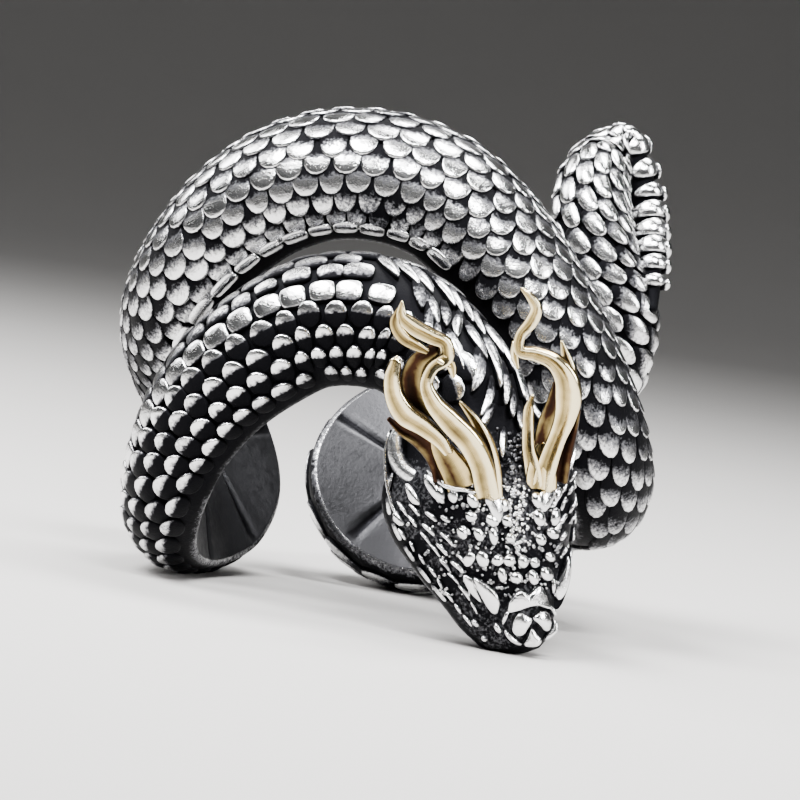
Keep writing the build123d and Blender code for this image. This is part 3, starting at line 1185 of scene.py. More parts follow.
# A bead's dark lower half is painted shade: the dark reflection under each bead of the neck.
BEAD = ScaleStyle(TipForm.BEAD, 1.12, 1.14, 0.42, tilt=0.75, crown=0.40, dark=0.06)
BRICK = ScaleStyle(TipForm.BRICK, 1.12, 1.16, 0.32, tilt=0.35, crown=0.26, dark=-1.15)
WORN = ScaleStyle(TipForm.BRICK, 1.0, 1.12, 0.22, tilt=0.3, crown=0.35, dark=-1.2, polish_and_shade=0.78)
BARB = ScaleStyle(TipForm.LEAF, 2.6, 0.80, 0.32, tilt=0.3, crown=0.55, keel=0.8, dark=-1.0)
EDGE = ScaleStyle(TipForm.LEAF, 1.7, 0.70, 0.26, tilt=0.5, crown=0.5, keel=0.6, dark=-1.2, polish_and_shade=0.8)
SLAB = ScaleStyle(TipForm.BRICK, 1.9, 0.60, 0.34, tilt=0.1, crown=0.3, dark=-1.5)
SHELL = ScaleStyle(TipForm.ROUND, 1.48, 1.14, 0.36, tilt=0.5, crown=0.5, dark=-1.0)
RIB = ScaleStyle(TipForm.BEAD, 2.05, 1.00, 0.36, tilt=0.1, crown=0.5, dark=-1.4)
KNOB = ScaleStyle(TipForm.PEBBLE, 0.86, 0.84, 0.52, tilt=0.1, crown=0.5, dark=-1.4)
PEBBLE = ScaleStyle(TipForm.PEBBLE, 0.72, 0.50, 0.32, tilt=0.2, crown=0.45, dark=-1.6, sink=0.2)
LIP = ScaleStyle(TipForm.BRICK, 0.98, 0.34, 0.20, tilt=0.1, crown=0.3, dark=-1.5, polish_and_shade=0.85)

# The end of the dark root moves towards the tip down the neck, darkening more of each bead as painted shade.
NECK_KEYS: tuple[CoatKey, ...] = (
    CoatKey(11.0, 90, 1.10, 1.08, 0.0, 0.38),
    CoatKey(20.0, 90, 1.30, 1.20, 0.0, 0.32),
    CoatKey(31.0, 90, 1.34, 1.22, 0.0, 0.38),
    CoatKey(38.0, 90, 1.36, 1.22, 0.0, 0.70),
    CoatKey(47.0, 90, 1.36, 1.20, 0.0, 1.05),
)
DORSAL_KEYS: tuple[CoatKey, ...] = (
    CoatKey(17.0, 90, 1.08, 1.24, 0.0, -0.5),
    CoatKey(47.0, 90, 1.12, 1.20, 0.0, -0.5),
)
REAR_KEYS: tuple[CoatKey, ...] = (
    CoatKey(18.0, 90, 0.98, 1.18, 0.0, 0.3),
    CoatKey(47.0, 90, 1.00, 1.18, 0.0, 0.3),
)
# The late ends of the dark root near both ends of the arc (46 to 60 mm and 96 to 106 mm) darken those scales
# as painted shade and dark reflection.
MAIN_KEYS: tuple[CoatKey, ...] = (
    CoatKey(46.0, 96, 1.72, 1.28, 0.0, 1.30),
    CoatKey(55.0, 103, 1.77, 1.30, 0.0, 1.25),
    CoatKey(60.0, 108, 1.80, 1.31, 0.0, 0.95),
    CoatKey(65.0, 103, 1.81, 1.33, 0.0, 0.62),
    CoatKey(70.0, 98, 1.82, 1.35, 0.0, 0.50),
    CoatKey(78.0, 86, 1.84, 1.33, 0.15, 0.55),
    CoatKey(83.0, 68, 1.84, 1.27, 0.35, 0.45),
    CoatKey(89.0, 42, 1.88, 1.20, 0.60, 0.62),
    CoatKey(96.0, 28, 1.92, 1.18, 0.65, 1.35),
    CoatKey(106.0, 28, 1.90, 1.18, 0.60, 1.35),
    CoatKey(113.0, 28, 1.89, 1.18, 0.56, 0.60),
    CoatKey(126.0, 28, 1.88, 1.18, 0.50, 0.50),
    CoatKey(134.0, 50, 1.75, 1.18, 0.30, 0.40),
    CoatKey(140.4, 80, 1.50, 1.14, 0.10, 0.30),
)
TAIL_KEYS: tuple[CoatKey, ...] = (
    CoatKey(138.0, 92, 1.45, 1.12, 0.0, 0.35),
    CoatKey(142.0, 136, 1.44, 1.06, 0.0, 0.20),
    CoatKey(147.0, 166, 1.42, 1.00, 0.0, 0.05),
    CoatKey(153.0, 172, 1.24, 1.06, 0.0, -0.25),
)
BARB_KEYS: tuple[CoatKey, ...] = (
    CoatKey(10.0, -152, 1.6, 0.42, 0.8, 0.3),
    CoatKey(15.0, -142, 2.4, 0.52, 0.8, 0.3),
    CoatKey(21.0, -125, 2.5, 0.62, 0.8, 0.3),
)
EDGE_KEYS: tuple[CoatKey, ...] = (
    CoatKey(9.5, 165, 1.5, 0.62, 0.6, 0.2),
    CoatKey(22.0, 150, 1.7, 0.80, 0.6, 0.2),
)
SLAB_KEYS: tuple[CoatKey, ...] = (
    CoatKey(52.0, 0, 1.7, 0.74, 0.0, -1.0),
    CoatKey(90.0, 0, 1.8, 0.74, 0.0, -1.0),
)

NECK_COATS: tuple[Coat, ...] = (
    Coat(12.4, 47.6, -80, -24, 4, 1.28, BEAD, NECK_KEYS),
    Coat(18.2, 47.6, -4, -4, 1, 1.27, BRICK, DORSAL_KEYS, shift=0.5),
    Coat(20.0, 47.6, 16, 70, 4, 1.27, WORN, REAR_KEYS, wobble=0.08, worn=0.16),
    Coat(10.2, 20.4, 34, 34, 1, 0.74, BARB, BARB_KEYS, wobble=0.06),
    Coat(10.4, 18.4, 8, 8, 1, 0.86, BARB, BARB_KEYS, wobble=0.10, worn=0.35),
    Coat(9.6, 17.0, -14, -14, 1, 1.05, BARB, BARB_KEYS, wobble=0.12, worn=0.45),
    Coat(10.0, 20.6, 58, 58, 1, 1.45, EDGE, EDGE_KEYS, wobble=0.07, worn=0.30),
    Coat(10.6, 21.4, 76, 76, 1, 1.45, EDGE, EDGE_KEYS, wobble=0.07, worn=0.40),
)
MAIN_COATS: tuple[Coat, ...] = (
    Coat(46.6, 140.6, -84, 64, 10, 1.33, TILE, MAIN_KEYS),
    Coat(51.0, 84.0, 79, 79, 1, 1.80, SLAB, SLAB_KEYS, wobble=0.02),
    Coat(88.0, 136.0, 80, 80, 1, 1.33, TILE, MAIN_KEYS, shift=0.5),
)
TAIL_COATS: tuple[Coat, ...] = (Coat(138.2, 152.8, -82, 80, 7, 1.20, SHELL, TAIL_KEYS),)
# Stretches of scales darkened as painted shade and dark reflection.
PAINTED_SHADE_PATCHES: tuple[PaintedShadePatch, ...] = (
    PaintedShadePatch(77.5, 52, 4.5, 26, 0.55),
    PaintedShadePatch(85.5, 66, 5.0, 20, 0.40),
    PaintedShadePatch(56.0, 60, 5.0, 30, 0.45),
    PaintedShadePatch(54.0, 0, 4.5, 70, 0.34),
    PaintedShadePatch(30.0, 62, 12.0, 22, 0.30),
    PaintedShadePatch(142.5, 0, 2.5, 60, 0.25),
)


@dataclass
class ScaleCoat:
    """Scales of the bands and the tail; the angle's and the lean's wobble are for a coat's wobble of 1."""

    maker: ScaleMaker
    seed: int = 7
    angle_wobble: float = 18.0
    lean_wobble: float = 60.0
    clear_wobble: float = 0.12

    def lay_coat(self, builder: MeshBuilder, coat: Coat, chance: np.random.Generator) -> None:
        """Lays one coat: rows along the body, each shifted by half a pitch from the last.

        Args:
            builder: the piece that gets them.
            coat: the coat.
            chance: source of the random draws.
        """
        keys = np.array(coat.keys, float)
        count = int((coat.end - coat.start) / coat.pitch)
        for index, degrees in enumerate(np.linspace(coat.low, coat.high, coat.rows)):
            distance = coat.start + (np.arange(count) + 0.5 * (index % 2) + coat.shift) * coat.pitch
            distance = distance + chance.normal(0, coat.wobble, count)
            angle = degrees + chance.normal(0, coat.wobble * self.angle_wobble, count)
            lean, length, width, keel, clear = (
                np.interp(distance, keys[:, 0], column) for column in keys.T[1:])
            size = 1 + chance.normal(0, coat.wobble, (2, count))
            polish_and_shade = 1.0 - np.abs(chance.normal(0, coat.worn, count))
            # Each patch paints shade and dark reflection on the scales near it.
            for patch in PAINTED_SHADE_PATCHES:
                along, across = (distance - patch.distance) / patch.long, (angle - patch.angle) / patch.wide
                near = np.exp(-(along**2 + across**2))
                polish_and_shade = polish_and_shade - patch.loss * near * chance.uniform(0.5, 1.0, count)
            style = replace(
                coat.style, length=length * size[0], width=width * size[1], keel=keel,
                clear=clear + chance.normal(0, self.clear_wobble, count), polish_and_shade=coat.style.polish_and_shade * polish_and_shade)
            turn = np.radians(lean + chance.normal(0, coat.wobble * self.lean_wobble, count))
            self.maker.lay(builder, style, distance, np.radians(angle), turn)

    def build(self, name: str, coats: Sequence[Coat], silver: bpy.types.Material) -> bpy.types.Object:
        """Makes one piece from its coats.

        Args:
            name: the piece's name.
            coats: its coats, in order.
            silver: material of the oxidised silver.

        Returns:
            The new object.
        """
        builder = MeshBuilder()
        chance = np.random.default_rng(self.seed)
        for coat in coats:
            self.lay_coat(builder, coat, chance)
        return builder.build(name, (silver,), SILVER_SLOT)


@dataclass
class CurlRibs:
    """Rounded ribs across the curled tip, each with a knob at its end."""

    maker: ScaleMaker
    start: float = 152.5
    pitch: float = 1.10
    end_room: float = 0.5
    wobble: float = 0.04
    swell: tuple[float, ...] = (0.80, 0.72, 0.78, 1.12, 1.16, 1.12, 0.90, 0.72, 0.62, 0.55)
    rib_place: tuple[float, float] = (0.42, 84.0)
    knob_place: tuple[float, float] = (-0.72, 90.0)
    seed: int = 5

    def build(self, silver: bpy.types.Material) -> bpy.types.Object:
        """Makes the ribs.

        Args:
            silver: material of the oxidised silver.

        Returns:
            The new object.
        """
        chance = np.random.default_rng(self.seed)
        count = int((self.maker.path.curve.length - self.end_room - self.start) / self.pitch) + 1
        distance = self.start + np.arange(count) * self.pitch + chance.normal(0, self.wobble, count)
        size = self.maker.path.curve.at(distance)[:, 6] / self.maker.path.sizes.curl_width
        size = size * np.array(self.swell)[:count]
        builder = MeshBuilder()
        for style, (side, lean) in ((RIB, self.rib_place), (KNOB, self.knob_place)):
            sized = replace(style, length=style.length * size, width=style.width * np.sqrt(size))
            self.maker.lay(builder, sized, distance, np.full(count, side), math.radians(lean))
        return builder.build("curl_ribs", (silver,), SILVER_SLOT)


class Mark(NamedTuple):
    """A place on the head's face: millimetres to the right of and above the middle of the snout's shield."""

    right: float
    up: float


def marks(*places: tuple[float, float]) -> tuple[Mark, ...]:
    """Places on the head's face, as marks."""
    return tuple(Mark(*place) for place in places)


@dataclass(frozen=True)
class Plate:
    """A raised plate on the head's face."""

    corners: tuple[Mark, ...]
    rise: float = 0.34
    crown: float = 0.3
    polish_and_shade: float = 1.0


@dataclass(frozen=True)
class Ridge:
    """A raised line on the head's face, thinner towards its ends."""

    corners: tuple[Mark, ...]
    width: float
    rise: float = 0.26
    polish_and_shade: float = 1.0


class DashRow(NamedTuple):
    """A row of short ridges between two places, each leaning by some degrees from the row frame's right."""

    start: Mark
    end: Mark
    count: int
    length: float
    width: float
    lean: float


class BumpRow(NamedTuple):
    """A row of round bumps on the crown, at a height and between two sides."""

    up: float
    left: float
    right: float
    count: int


class GrainPatch(NamedTuple):
    """Grains strewn on the head's face: how many, their middle, their reach each way, size and polish."""

    count: int
    right: float
    up: float
    wide: float
    high: float
    size: float
    polish_and_shade: float


class FlankRow(NamedTuple):
    """Rows of scales low on the head: degrees of the first and the last row, how many, style and pitch."""

    low: float
    high: float
    rows: int
    style: ScaleStyle
    pitch: float


SHIELDS: tuple[Plate, ...] = (
    Plate(marks((-1.05, 0.78), (-1.06, 1.1), (-0.94, 1.44), (-0.5, 1.86), (-0.16, 1.62), (0.42, 2.04),
        (0.68, 1.63), (0.8, 1.25), (0.98, 0.86), (0.43, 1.05), (-0.06, 1.04), (-0.6, 0.86)), 0.40, 0.2),
    Plate(marks((-0.82, -0.13), (-0.84, 0.26), (-0.6, 0.74), (-0.26, 0.68), (0.04, 0.44), (-0.16, 0.02),
        (-0.36, -0.28), (-0.62, -0.32)), 0.46, 0.25),
    Plate(marks((0.08, 0.5), (0.42, 0.8), (0.74, 0.74), (0.88, 0.36), (0.84, -0.06), (0.61, -0.12),
        (0.32, 0.2)), 0.44, 0.25),
    Plate(marks((0.02, 0.06), (0.27, -0.22), (0.52, -0.55), (0.36, -0.82), (0, -0.88), (-0.32, -0.79),
        (-0.12, -0.28)), 0.44, 0.25),
    Plate(marks((-2.66, 2.52), (-1.88, 2.02), (-1.46, 1.44), (-1.52, 0.76), (-1.8, 0.78), (-2.14, 1.29),
        (-2.5, 2.02)), 0.42, 0.25),
    Plate(marks((-3.17, 2.6), (-2.78, 2.48), (-2.58, 2.02), (-2.25, 1.27), (-2.66, 1.6),
        (-3, 2.07)), 0.34),
    Plate(marks((1.1, 3.9), (1.62, 3.9), (1.98, 3.5), (2.04, 2.6), (1.8, 1.6), (1.4, 0.85), (0.95, 1.1),
        (0.85, 2.4)), 0.02, 0.1, 0.05),
    Plate(marks((1.78, 3.4), (1.94, 3.18), (1.93, 2.56), (1.74, 1.75), (1.44, 1.3), (1.22, 1.42),
        (1.2, 1.85), (1.46, 2.42), (1.66, 2.91)), 0.26, 0.25),
    Plate(marks((1.12, 2.34), (1.2, 2.05), (1.1, 1.62), (1.02, 1.95)), 0.22),
    Plate(marks((-5.86, 6.92), (-5.55, 6.76), (-5.26, 6.28), (-5.2, 5.92), (-5.58, 6.04),
        (-5.8, 6.44)), 0.36),
    Plate(marks((-4.98, 7.36), (-4.64, 7.26), (-4.34, 6.83), (-4.02, 6.12), (-4.2, 6.02), (-4.64, 6.39),
        (-4.94, 6.88)), 0.36),
    Plate(marks((-2.18, 6.42), (-1.6, 6.48), (-1.32, 5.87), (-1.52, 5.06), (-1.94, 5.53)), 0.38),
    Plate(marks((0.41, 6.49), (0.72, 6.72), (1.08, 6.6), (1.1, 6.22), (0.64, 5.54), (0.34, 5.96)), 0.38),
    Plate(marks((1.16, 6.62), (1.44, 6.74), (1.5, 6.38), (1.2, 5.98), (1.12, 6.25)), 0.34),
)
RIDGES: tuple[Ridge, ...] = (
    Ridge(marks((-1, 0.92), (-1.16, 0.58), (-1.3, 0.15)), 0.22, 0.34),
    Ridge(marks((0.84, 1.08), (1.04, 0.82), (1.2, 0.52)), 0.22, 0.34),
    Ridge(marks((-1.18, -0.02), (-1.05, -0.25), (-0.85, -0.45), (-0.62, -0.64),
        (-0.36, -0.78)), 0.25, 0.40),
    Ridge(marks((1.13, 0.4), (1.17, 0.08), (1.06, -0.18), (0.88, -0.38), (0.68, -0.62)), 0.28, 0.36),
    Ridge(marks((-1.64, 0.3), (-1.52, 0.02), (-1.32, -0.24)), 0.26, 0.30),
    Ridge(marks((-2.74, 0.44), (-2.56, 0.26), (-2.4, 0.05)), 0.20, 0.24, 0.8),
    Ridge(marks((-2.26, -0.36), (-2.12, -0.5), (-1.98, -0.62)), 0.18, 0.24, 0.8),
    Ridge(marks((-6.15, 9.8), (-6.42, 9), (-6.32, 8.1), (-5.85, 7.45), (-5.1, 7.1),
        (-4.3, 6.85)), 0.85, 0.28, 0.72),
    Ridge(marks((-4.95, 7.62), (-4.38, 7.12), (-3.85, 6.8), (-3.17, 6.66), (-2.4, 6.5)), 0.26, 0.44),
    Ridge(marks((-0.4, 6.8), (0.34, 7.04), (0.96, 7.1), (1.54, 7.36), (1.97, 7.88),
        (2.22, 8.6)), 0.30, 0.44),
    Ridge(marks((-6.66, 9.5), (-6.82, 8.4), (-6.76, 7.1), (-6.5, 5.87), (-6.2, 5.2)), 0.18, 0.28, 0.8),
    Ridge(marks((-6.4, 5.65), (-6.28, 5.28), (-6, 4.9)), 0.34, 0.34),
)
DASH_ROWS: tuple[DashRow, ...] = (
    DashRow(Mark(-6.05, 4.55), Mark(-2.95, 0.35), 8, 0.70, 0.10, -55.0),
    DashRow(Mark(-6.05, 5.75), Mark(-2.60, 1.05), 8, 0.90, 0.12, -53.0),
    DashRow(Mark(-5.50, 5.62), Mark(-2.75, 2.00), 5, 0.92, 0.17, -47.0),
    DashRow(Mark(-4.75, 5.30), Mark(-3.25, 3.30), 3, 0.86, 0.19, -41.0),
    DashRow(Mark(-4.05, 5.25), Mark(-3.10, 4.70), 2, 0.62, 0.22, -36.0),
    DashRow(Mark(2.10, 7.2), Mark(1.98, 3.75), 6, 0.62, 0.15, 58.0),
    DashRow(Mark(1.72, 6.7), Mark(1.60, 3.60), 5, 0.66, 0.17, 56.0),
    DashRow(Mark(1.34, 5.9), Mark(1.30, 3.90), 3, 0.60, 0.20, 54.0),
)
BUMP_ROWS: tuple[BumpRow, ...] = (
    BumpRow(2.38, -1.34, 0.74, 4),
    BumpRow(3.18, -2.84, 0.85, 7),
    BumpRow(4.25, -3.15, 1.10, 7),
    BumpRow(5.15, -2.75, 1.25, 6),
    BumpRow(5.95, -4.35, 0.30, 7),
)


# The second patch, between the horns, is darkened as painted shade.
GRAINS: tuple[GrainPatch, ...] = (
    GrainPatch(90, -0.62, 5.2, 0.30, 0.95, 0.17, 0.85),
    GrainPatch(70, -0.9, 8.2, 0.33, 0.8, 0.2, 0.34),
    GrainPatch(380, -1.3, 4.4, 1.8, 1.7, 0.18, 0.62),
)
FLANKS: tuple[FlankRow, ...] = (
    FlankRow(66, 78, 2, PEBBLE, 0.86),
    FlankRow(87, 87, 1, LIP, 1.15),
    FlankRow(-89, -89, 1, LIP, 1.15),
)
# Section of a raised line on the head: shares of half its width and of its height, and its polish.
RIDGE_SECTION: tuple[tuple[float, float, float], ...] = (
    (-1.0, 0.0, 0.0), (-0.95, 0.35, 0.35), (-0.6, 0.85, 1.0), (0.0, 1.0, 1.0),
    (0.6, 0.85, 1.0), (0.95, 0.35, 0.35), (1.0, 0.0, 0.0))


def smooth_corners(corners: np.ndarray, closed: bool, steps: int = 5) -> np.ndarray:
    """Points along a smooth curve through the corners.

    Args:
        corners: rows of right and up.
        closed: whether the last corner joins the first.
        steps: points from each corner to the next.

    Returns:
        Rows of right and up.
    """
    count = len(corners)
    if closed:
        padded = np.concatenate([corners[-1:], corners, corners[:2]])
    else:
        before, after = 2 * corners[:1] - corners[1:2], 2 * corners[-1:] - corners[-2:-1]
        padded = np.concatenate([before, corners, after])
        count -= 1
    t = np.linspace(0, 1, steps, endpoint=False)[:, None]
    points = []
    for a, b, c, d in (padded[i:i + 4] for i in range(count)):
        points.append(0.5 * (
            2 * b + (c - a) * t + (2 * a - 5 * b + 4 * c - d) * t**2 + (3 * b - 3 * c + d - a) * t**3))
    if not closed:
        points.append(corners[-1:])
    return np.concatenate(points)


@dataclass
class HeadFace:
    """The head's surface, found square on from the side that its face turns to."""

    path: SnakePath
    skin: np.ndarray
    shield_distance: float = 0.75
    shield_angle: float = -10.0
    least_facing: float = 0.30
    edge_step: float = 0.06
    edge_reach: float = 1.5
    edge_depth: float = 3.5
    edge_lift: float = 0.06
    flatten: float = 1.1
    centre: float = -1.0
    tip_reach: float = 0.5
    ray_reach: float = 20.0
    lean_out: float = 0.4
    axes: tuple[np.ndarray, np.ndarray, np.ndarray] = field(init=False)
    tree: BVHTree = field(init=False)
    middle: np.ndarray = field(init=False)

    def __post_init__(self) -> None:
        """Builds the search tree of the head's skin and the right, up and facing directions."""
        self.axes = facing_axes()
        rows, columns = self.skin.shape[:2]
        middle = self.skin[0].mean(0)
        tip = middle + unit(middle - self.skin[1].mean(0)) * self.tip_reach
        fan = ring_fan(0, columns, rows * columns)[:, [1, 2, 0]]
        faces = tube_faces(rows, columns).tolist() + fan.tolist()
        points = np.concatenate([self.skin.reshape(-1, 3), [tip]])
        self.tree = BVHTree.FromPolygons(points.tolist(), faces)
        self.middle = self.path.surface(
            np.array([self.shield_distance]), np.radians([self.shield_angle]), np.zeros(1))[0]

    def look(self, right: float, high: float) -> tuple[np.ndarray | None, np.ndarray]:
        """Where a mark meets the skin, or None past the head's edge, and the skin's outward direction.

        Args:
            right: millimetres to the right of the snout's shield.
            high: millimetres above it.

        Returns:
            The place or None, and a unit vector.
        """
        start = self.middle + self.axes[0] * right + self.axes[1] * high + self.axes[2] * self.ray_reach
        hit, normal, _, _ = self.tree.ray_cast(Vector(start), Vector(-self.axes[2]))
        if hit is None:
            return None, self.axes[2]
        out = np.array(normal) * (1.0 if np.dot(normal, self.axes[2]) > 0 else -1.0)
        return (np.array(hit) if np.dot(out, self.axes[2]) > self.least_facing else None), out

    def place(self, places: np.ndarray, lift: np.ndarray) -> np.ndarray:
        """Points above the head's face.

        Args:
            places: rows of right and up in millimetres.
            lift: height of each over the skin.

        Returns:
            Points in the worn frame. Those that reach past the head's edge lie flat, on the plane of the skin
            beside it.
        """
        looks = [self.look(*place) for place in places]
        if all(hit is not None for hit, _ in looks):
            outward = [unit(out + self.lean_out * self.axes[2]) for _, out in looks]
            return np.array([hit + out * high for (hit, _), out, high in zip(looks, outward, lift)])
        middle = places.mean(0)
        past = 0.0
        while (base := self.look(middle[0] - past, middle[1]))[0] is None and abs(past) < self.edge_reach:
            past += self.edge_step * (1 if middle[0] > self.centre else -1)
        hit, out = base
        if hit is None:
            beside = self.middle + self.axes[0] * middle[0] + self.axes[1] * middle[1]
            hit = np.array(self.tree.find_nearest(Vector(beside))[0])
        out = unit(out + self.flatten * self.axes[2])
        flat = (places[:, :1] - middle[0] + past) * self.axes[0] + (places[:, 1:] - middle[1]) * self.axes[1]
        flat = flat - (flat @ out / np.dot(self.axes[2], out))[:, None] * self.axes[2]
        deep = np.where(lift < 0, lift * self.edge_depth, lift + self.edge_lift)
        return hit + flat + out * deep[:, None]

    def shows(self, mark: Sequence[float]) -> bool:
        """Whether a mark lies on the head's face and not past its edge."""
        return self.look(mark[0], mark[1])[0] is not None


@dataclass
class HeadCarving:
    """Shields, ridges, bumps, grains, lip lines and low scales of the head."""

    maker: ScaleMaker
    face: HeadFace
    seed: int = 11
    sink: float = 0.22
    rings: tuple[float, ...] = (0.45, 0.84, 0.95, 1.0, 1.0)
    rise: tuple[float, ...] = (1.0, 1.0, 0.92, 0.5, 0.0)
    shine: tuple[float, ...] = (1.0, 1.0, 0.95, 0.4, 0.0)
    bump_crown: float = 0.45
    bump_size: tuple[float, float] = (0.72, 0.54)
    bump_rise: float = 0.36
    grain_rise: float = 0.15
    dash_rise: float = 0.24
    dash_bend: float = 0.15
    parting: float = -0.55
    parting_half: float = 0.3
    parting_from: float = 4.0
    row_middle: float = -0.5
    row_bend: float = 0.12
    ridge_taper: float = 0.45
    ridge_least: float = 0.015
    flank_start: float = 3.0
    flank_end: float = 9.4
    flank_shift: float = 0.4

    def plate(self, builder: MeshBuilder, outline: np.ndarray, rise: float, crown: float,
              polish_and_shade: float) -> None:
        """Adds a domed plate.

        Args:
            builder: the piece that gets it.
            outline: rows of right and up round it.
            rise: its height in millimetres.
            crown: how far it falls to its rim, as a share of its height.
            polish_and_shade: how polished it is.
        """
        count = len(outline)
        middle = outline.mean(0)
        loops = [middle + (outline - middle) * ring for ring in self.rings]
        places = np.concatenate([[middle], *loops, [middle]])
        dome = 1 - crown * np.array(self.rings) ** 2
        lift = np.repeat(np.array(self.rise) * dome * rise, count)
        lift[-count:] = -self.sink
        points = self.face.place(places, np.concatenate([[rise], lift, [-self.sink]]))
        shine = np.concatenate([[1.0], np.repeat(self.shine, count), [0.0]]) * polish_and_shade
        faces = plate_faces(count, len(self.rings))
        spin = np.cross(outline[1] - outline[0], outline[2] - outline[1])
        builder.add(points, faces if spin > 0 else faces[:, ::-1], shine)

    def bump(self, builder: MeshBuilder, mark: Sequence[float], size: tuple[float, float], lean: float,
             rise: float, polish_and_shade: float, corners: int = 12) -> None:
        """Adds an oval bump, unless it would lie past the head's edge.

        Args:
            builder: the piece that gets it.
            mark: its middle.
            size: its length and width.
            lean: radians from the right to its length.
            rise: its height in millimetres.
            polish_and_shade: how polished it is.
            corners: how many points its outline has.
        """
        if not self.face.shows(mark):
            return
        theta = np.linspace(0, 2 * math.pi, corners, endpoint=False)
        along, across = size[0] / 2 * np.cos(theta), size[1] / 2 * np.sin(theta)
        c, s = math.cos(lean), math.sin(lean)
        outline = np.stack([mark[0] + along * c - across * s, mark[1] + along * s + across * c], -1)
        self.plate(builder, outline, rise, self.bump_crown, polish_and_shade)

    def ridge(self, builder: MeshBuilder, corners: np.ndarray, width: float, rise: float,
              polish_and_shade: float) -> None:
        """Adds a raised line that thins out to both ends.

        Args:
            builder: the piece that gets it.
            corners: rows of right and up that it runs through.
            width: its greatest width in millimetres.
            rise: its greatest height.
            polish_and_shade: how polished its top is.
        """
        line = smooth_corners(corners, False)
        ahead = unit(np.gradient(line, axis=0))
        side = np.stack([-ahead[:, 1], ahead[:, 0]], -1)
        share = np.linspace(0, 1, len(line))
        half = width / 2 * np.clip(np.sin(share * math.pi), 0.0, 1.0) ** self.ridge_taper + self.ridge_least
        across, level, shine = np.array(RIDGE_SECTION).T
        level = level * rise
        level[[0, -1]] = -self.sink
        places = line[:, None] + side[:, None] * (half[:, None] * across)[..., None]
        taper = (half / half.max())[:, None]
        lift = np.where(level > 0, level * taper, level)
        points = self.face.place(places.reshape(-1, 2), lift.ravel())
        count = len(across)
        triangles = [halves(tube_faces(len(line), count)[:, ::-1])]
        for start, order in ((0, 1), ((len(line) - 1) * count, -1)):
            fan = np.array([(start, start + k, start + k + 1) for k in range(1, count - 1)])
            triangles.append(fan[:, ::order])
        builder.add(points, np.concatenate(triangles), np.tile(shine * polish_and_shade, (len(line), 1)))

    def crown(self, builder: MeshBuilder, chance: np.random.Generator) -> None:
        """Round bumps in rows over the crown.

        Args:
            builder: the piece that gets them.
            chance: source of the random draws.
        """
        for row in BUMP_ROWS:
            for right in np.linspace(row.left, row.right, row.count):
                if row.up > self.parting_from and abs(right - self.parting) < self.parting_half:
                    continue
                bend = self.row_bend * abs(right - self.row_middle)
                mark = (right + chance.normal(0, 0.05), row.up + chance.normal(0, 0.07) + bend)
                length, width = self.bump_size
                size = (length * chance.uniform(0.75, 1.3), width * chance.uniform(0.8, 1.15))
                self.bump(builder, mark, size, chance.normal(1.9, 0.35), self.bump_rise, 1.0)

    def grains(self, builder: MeshBuilder, chance: np.random.Generator) -> None:
        """Fine grains: bright along the crown's middle, dark round the bumps, and darkened between the horns
        as painted shade.

        Args:
            builder: the piece that gets them.
            chance: source of the random draws.
        """
        for patch in GRAINS:
            for _ in range(patch.count):
                right = patch.right + chance.normal(0, patch.wide)
                up = patch.up + chance.uniform(-1.7, 1.7) * patch.high
                grain = patch.size * chance.uniform(0.7, 1.4)
                lean = chance.uniform(0, 3)
                self.bump(builder, (right, up), (grain, grain * 0.8), lean, self.grain_rise, patch.polish_and_shade, 7)

    def dashes(self, builder: MeshBuilder, chance: np.random.Generator) -> None:
        """Short lip lines down both sides.

        Args:
            builder: the piece that gets them.
            chance: source of the random draws.
        """
        for row in DASH_ROWS:
            for share in np.linspace(0, 1, row.count):
                middle = np.array(row.start) + (np.array(row.end) - np.array(row.start)) * share
                middle = middle + chance.normal(0, 0.05, 2)
                if not self.face.shows(middle):
                    continue
                lean = math.radians(row.lean + chance.normal(0, 5))
                ahead = np.array([math.cos(lean), math.sin(lean)])
                reach = ahead * row.length / 2 * chance.uniform(0.8, 1.2)
                bend = np.array([-reach[1], reach[0]]) * self.dash_bend
                self.ridge(builder, np.array([middle - reach, middle + bend, middle + reach]),
                           row.width * chance.uniform(0.8, 1.3), self.dash_rise, chance.uniform(0.7, 1.0))

    def flanks(self, builder: MeshBuilder, chance: np.random.Generator) -> None:
        """Lip scales low on both sides, and rows of bumps on the side turned away.

        Args:
            builder: the piece that gets them.
            chance: source of the random draws.
        """
        for row in FLANKS:
            for index, degrees in enumerate(np.linspace(row.low, row.high, row.rows)):
                start = self.flank_start + self.flank_shift * (index % 2)
                distance = np.arange(start, self.flank_end, row.pitch)
                angle = np.full(len(distance), math.radians(degrees))
                distance = distance + chance.normal(0, 0.06, len(distance))
                self.maker.lay(builder, row.style, distance, angle, math.pi)

    def build(self, silver: bpy.types.Material) -> bpy.types.Object:
        """Makes the head's relief.

        Args:
            silver: material of the oxidised silver.

        Returns:
            The new object.
        """
        builder = MeshBuilder()
        chance = np.random.default_rng(self.seed)
        for shield in SHIELDS:
            outline = smooth_corners(np.array(shield.corners), True, 3)
            self.plate(builder, outline, shield.rise, shield.crown, shield.polish_and_shade)
        for line in RIDGES:
            self.ridge(builder, np.array(line.corners), line.width, line.rise, line.polish_and_shade)
        self.crown(builder, chance)
        self.dashes(builder, chance)
        self.grains(builder, chance)
        self.flanks(builder, chance)
        return builder.build("head_scales", (silver,), SILVER_SLOT)


def ribbon_line(*places: tuple[float, float, float, float]) -> tuple[RibbonPoint, ...]:
    """Places on a flame ribbon, as points."""
    return tuple(RibbonPoint(*place) for place in places)


@dataclass(frozen=True)
class Ribbon:
    """One flame ribbon: its points, its thickness and how brightly it is painted; a low value paints the
    shade of inner faces and undersides.
    """

    points: tuple[RibbonPoint, ...]
    thick: float = 0.8
    polish_and_shade: float = 1.0
    skew: float = 0.2


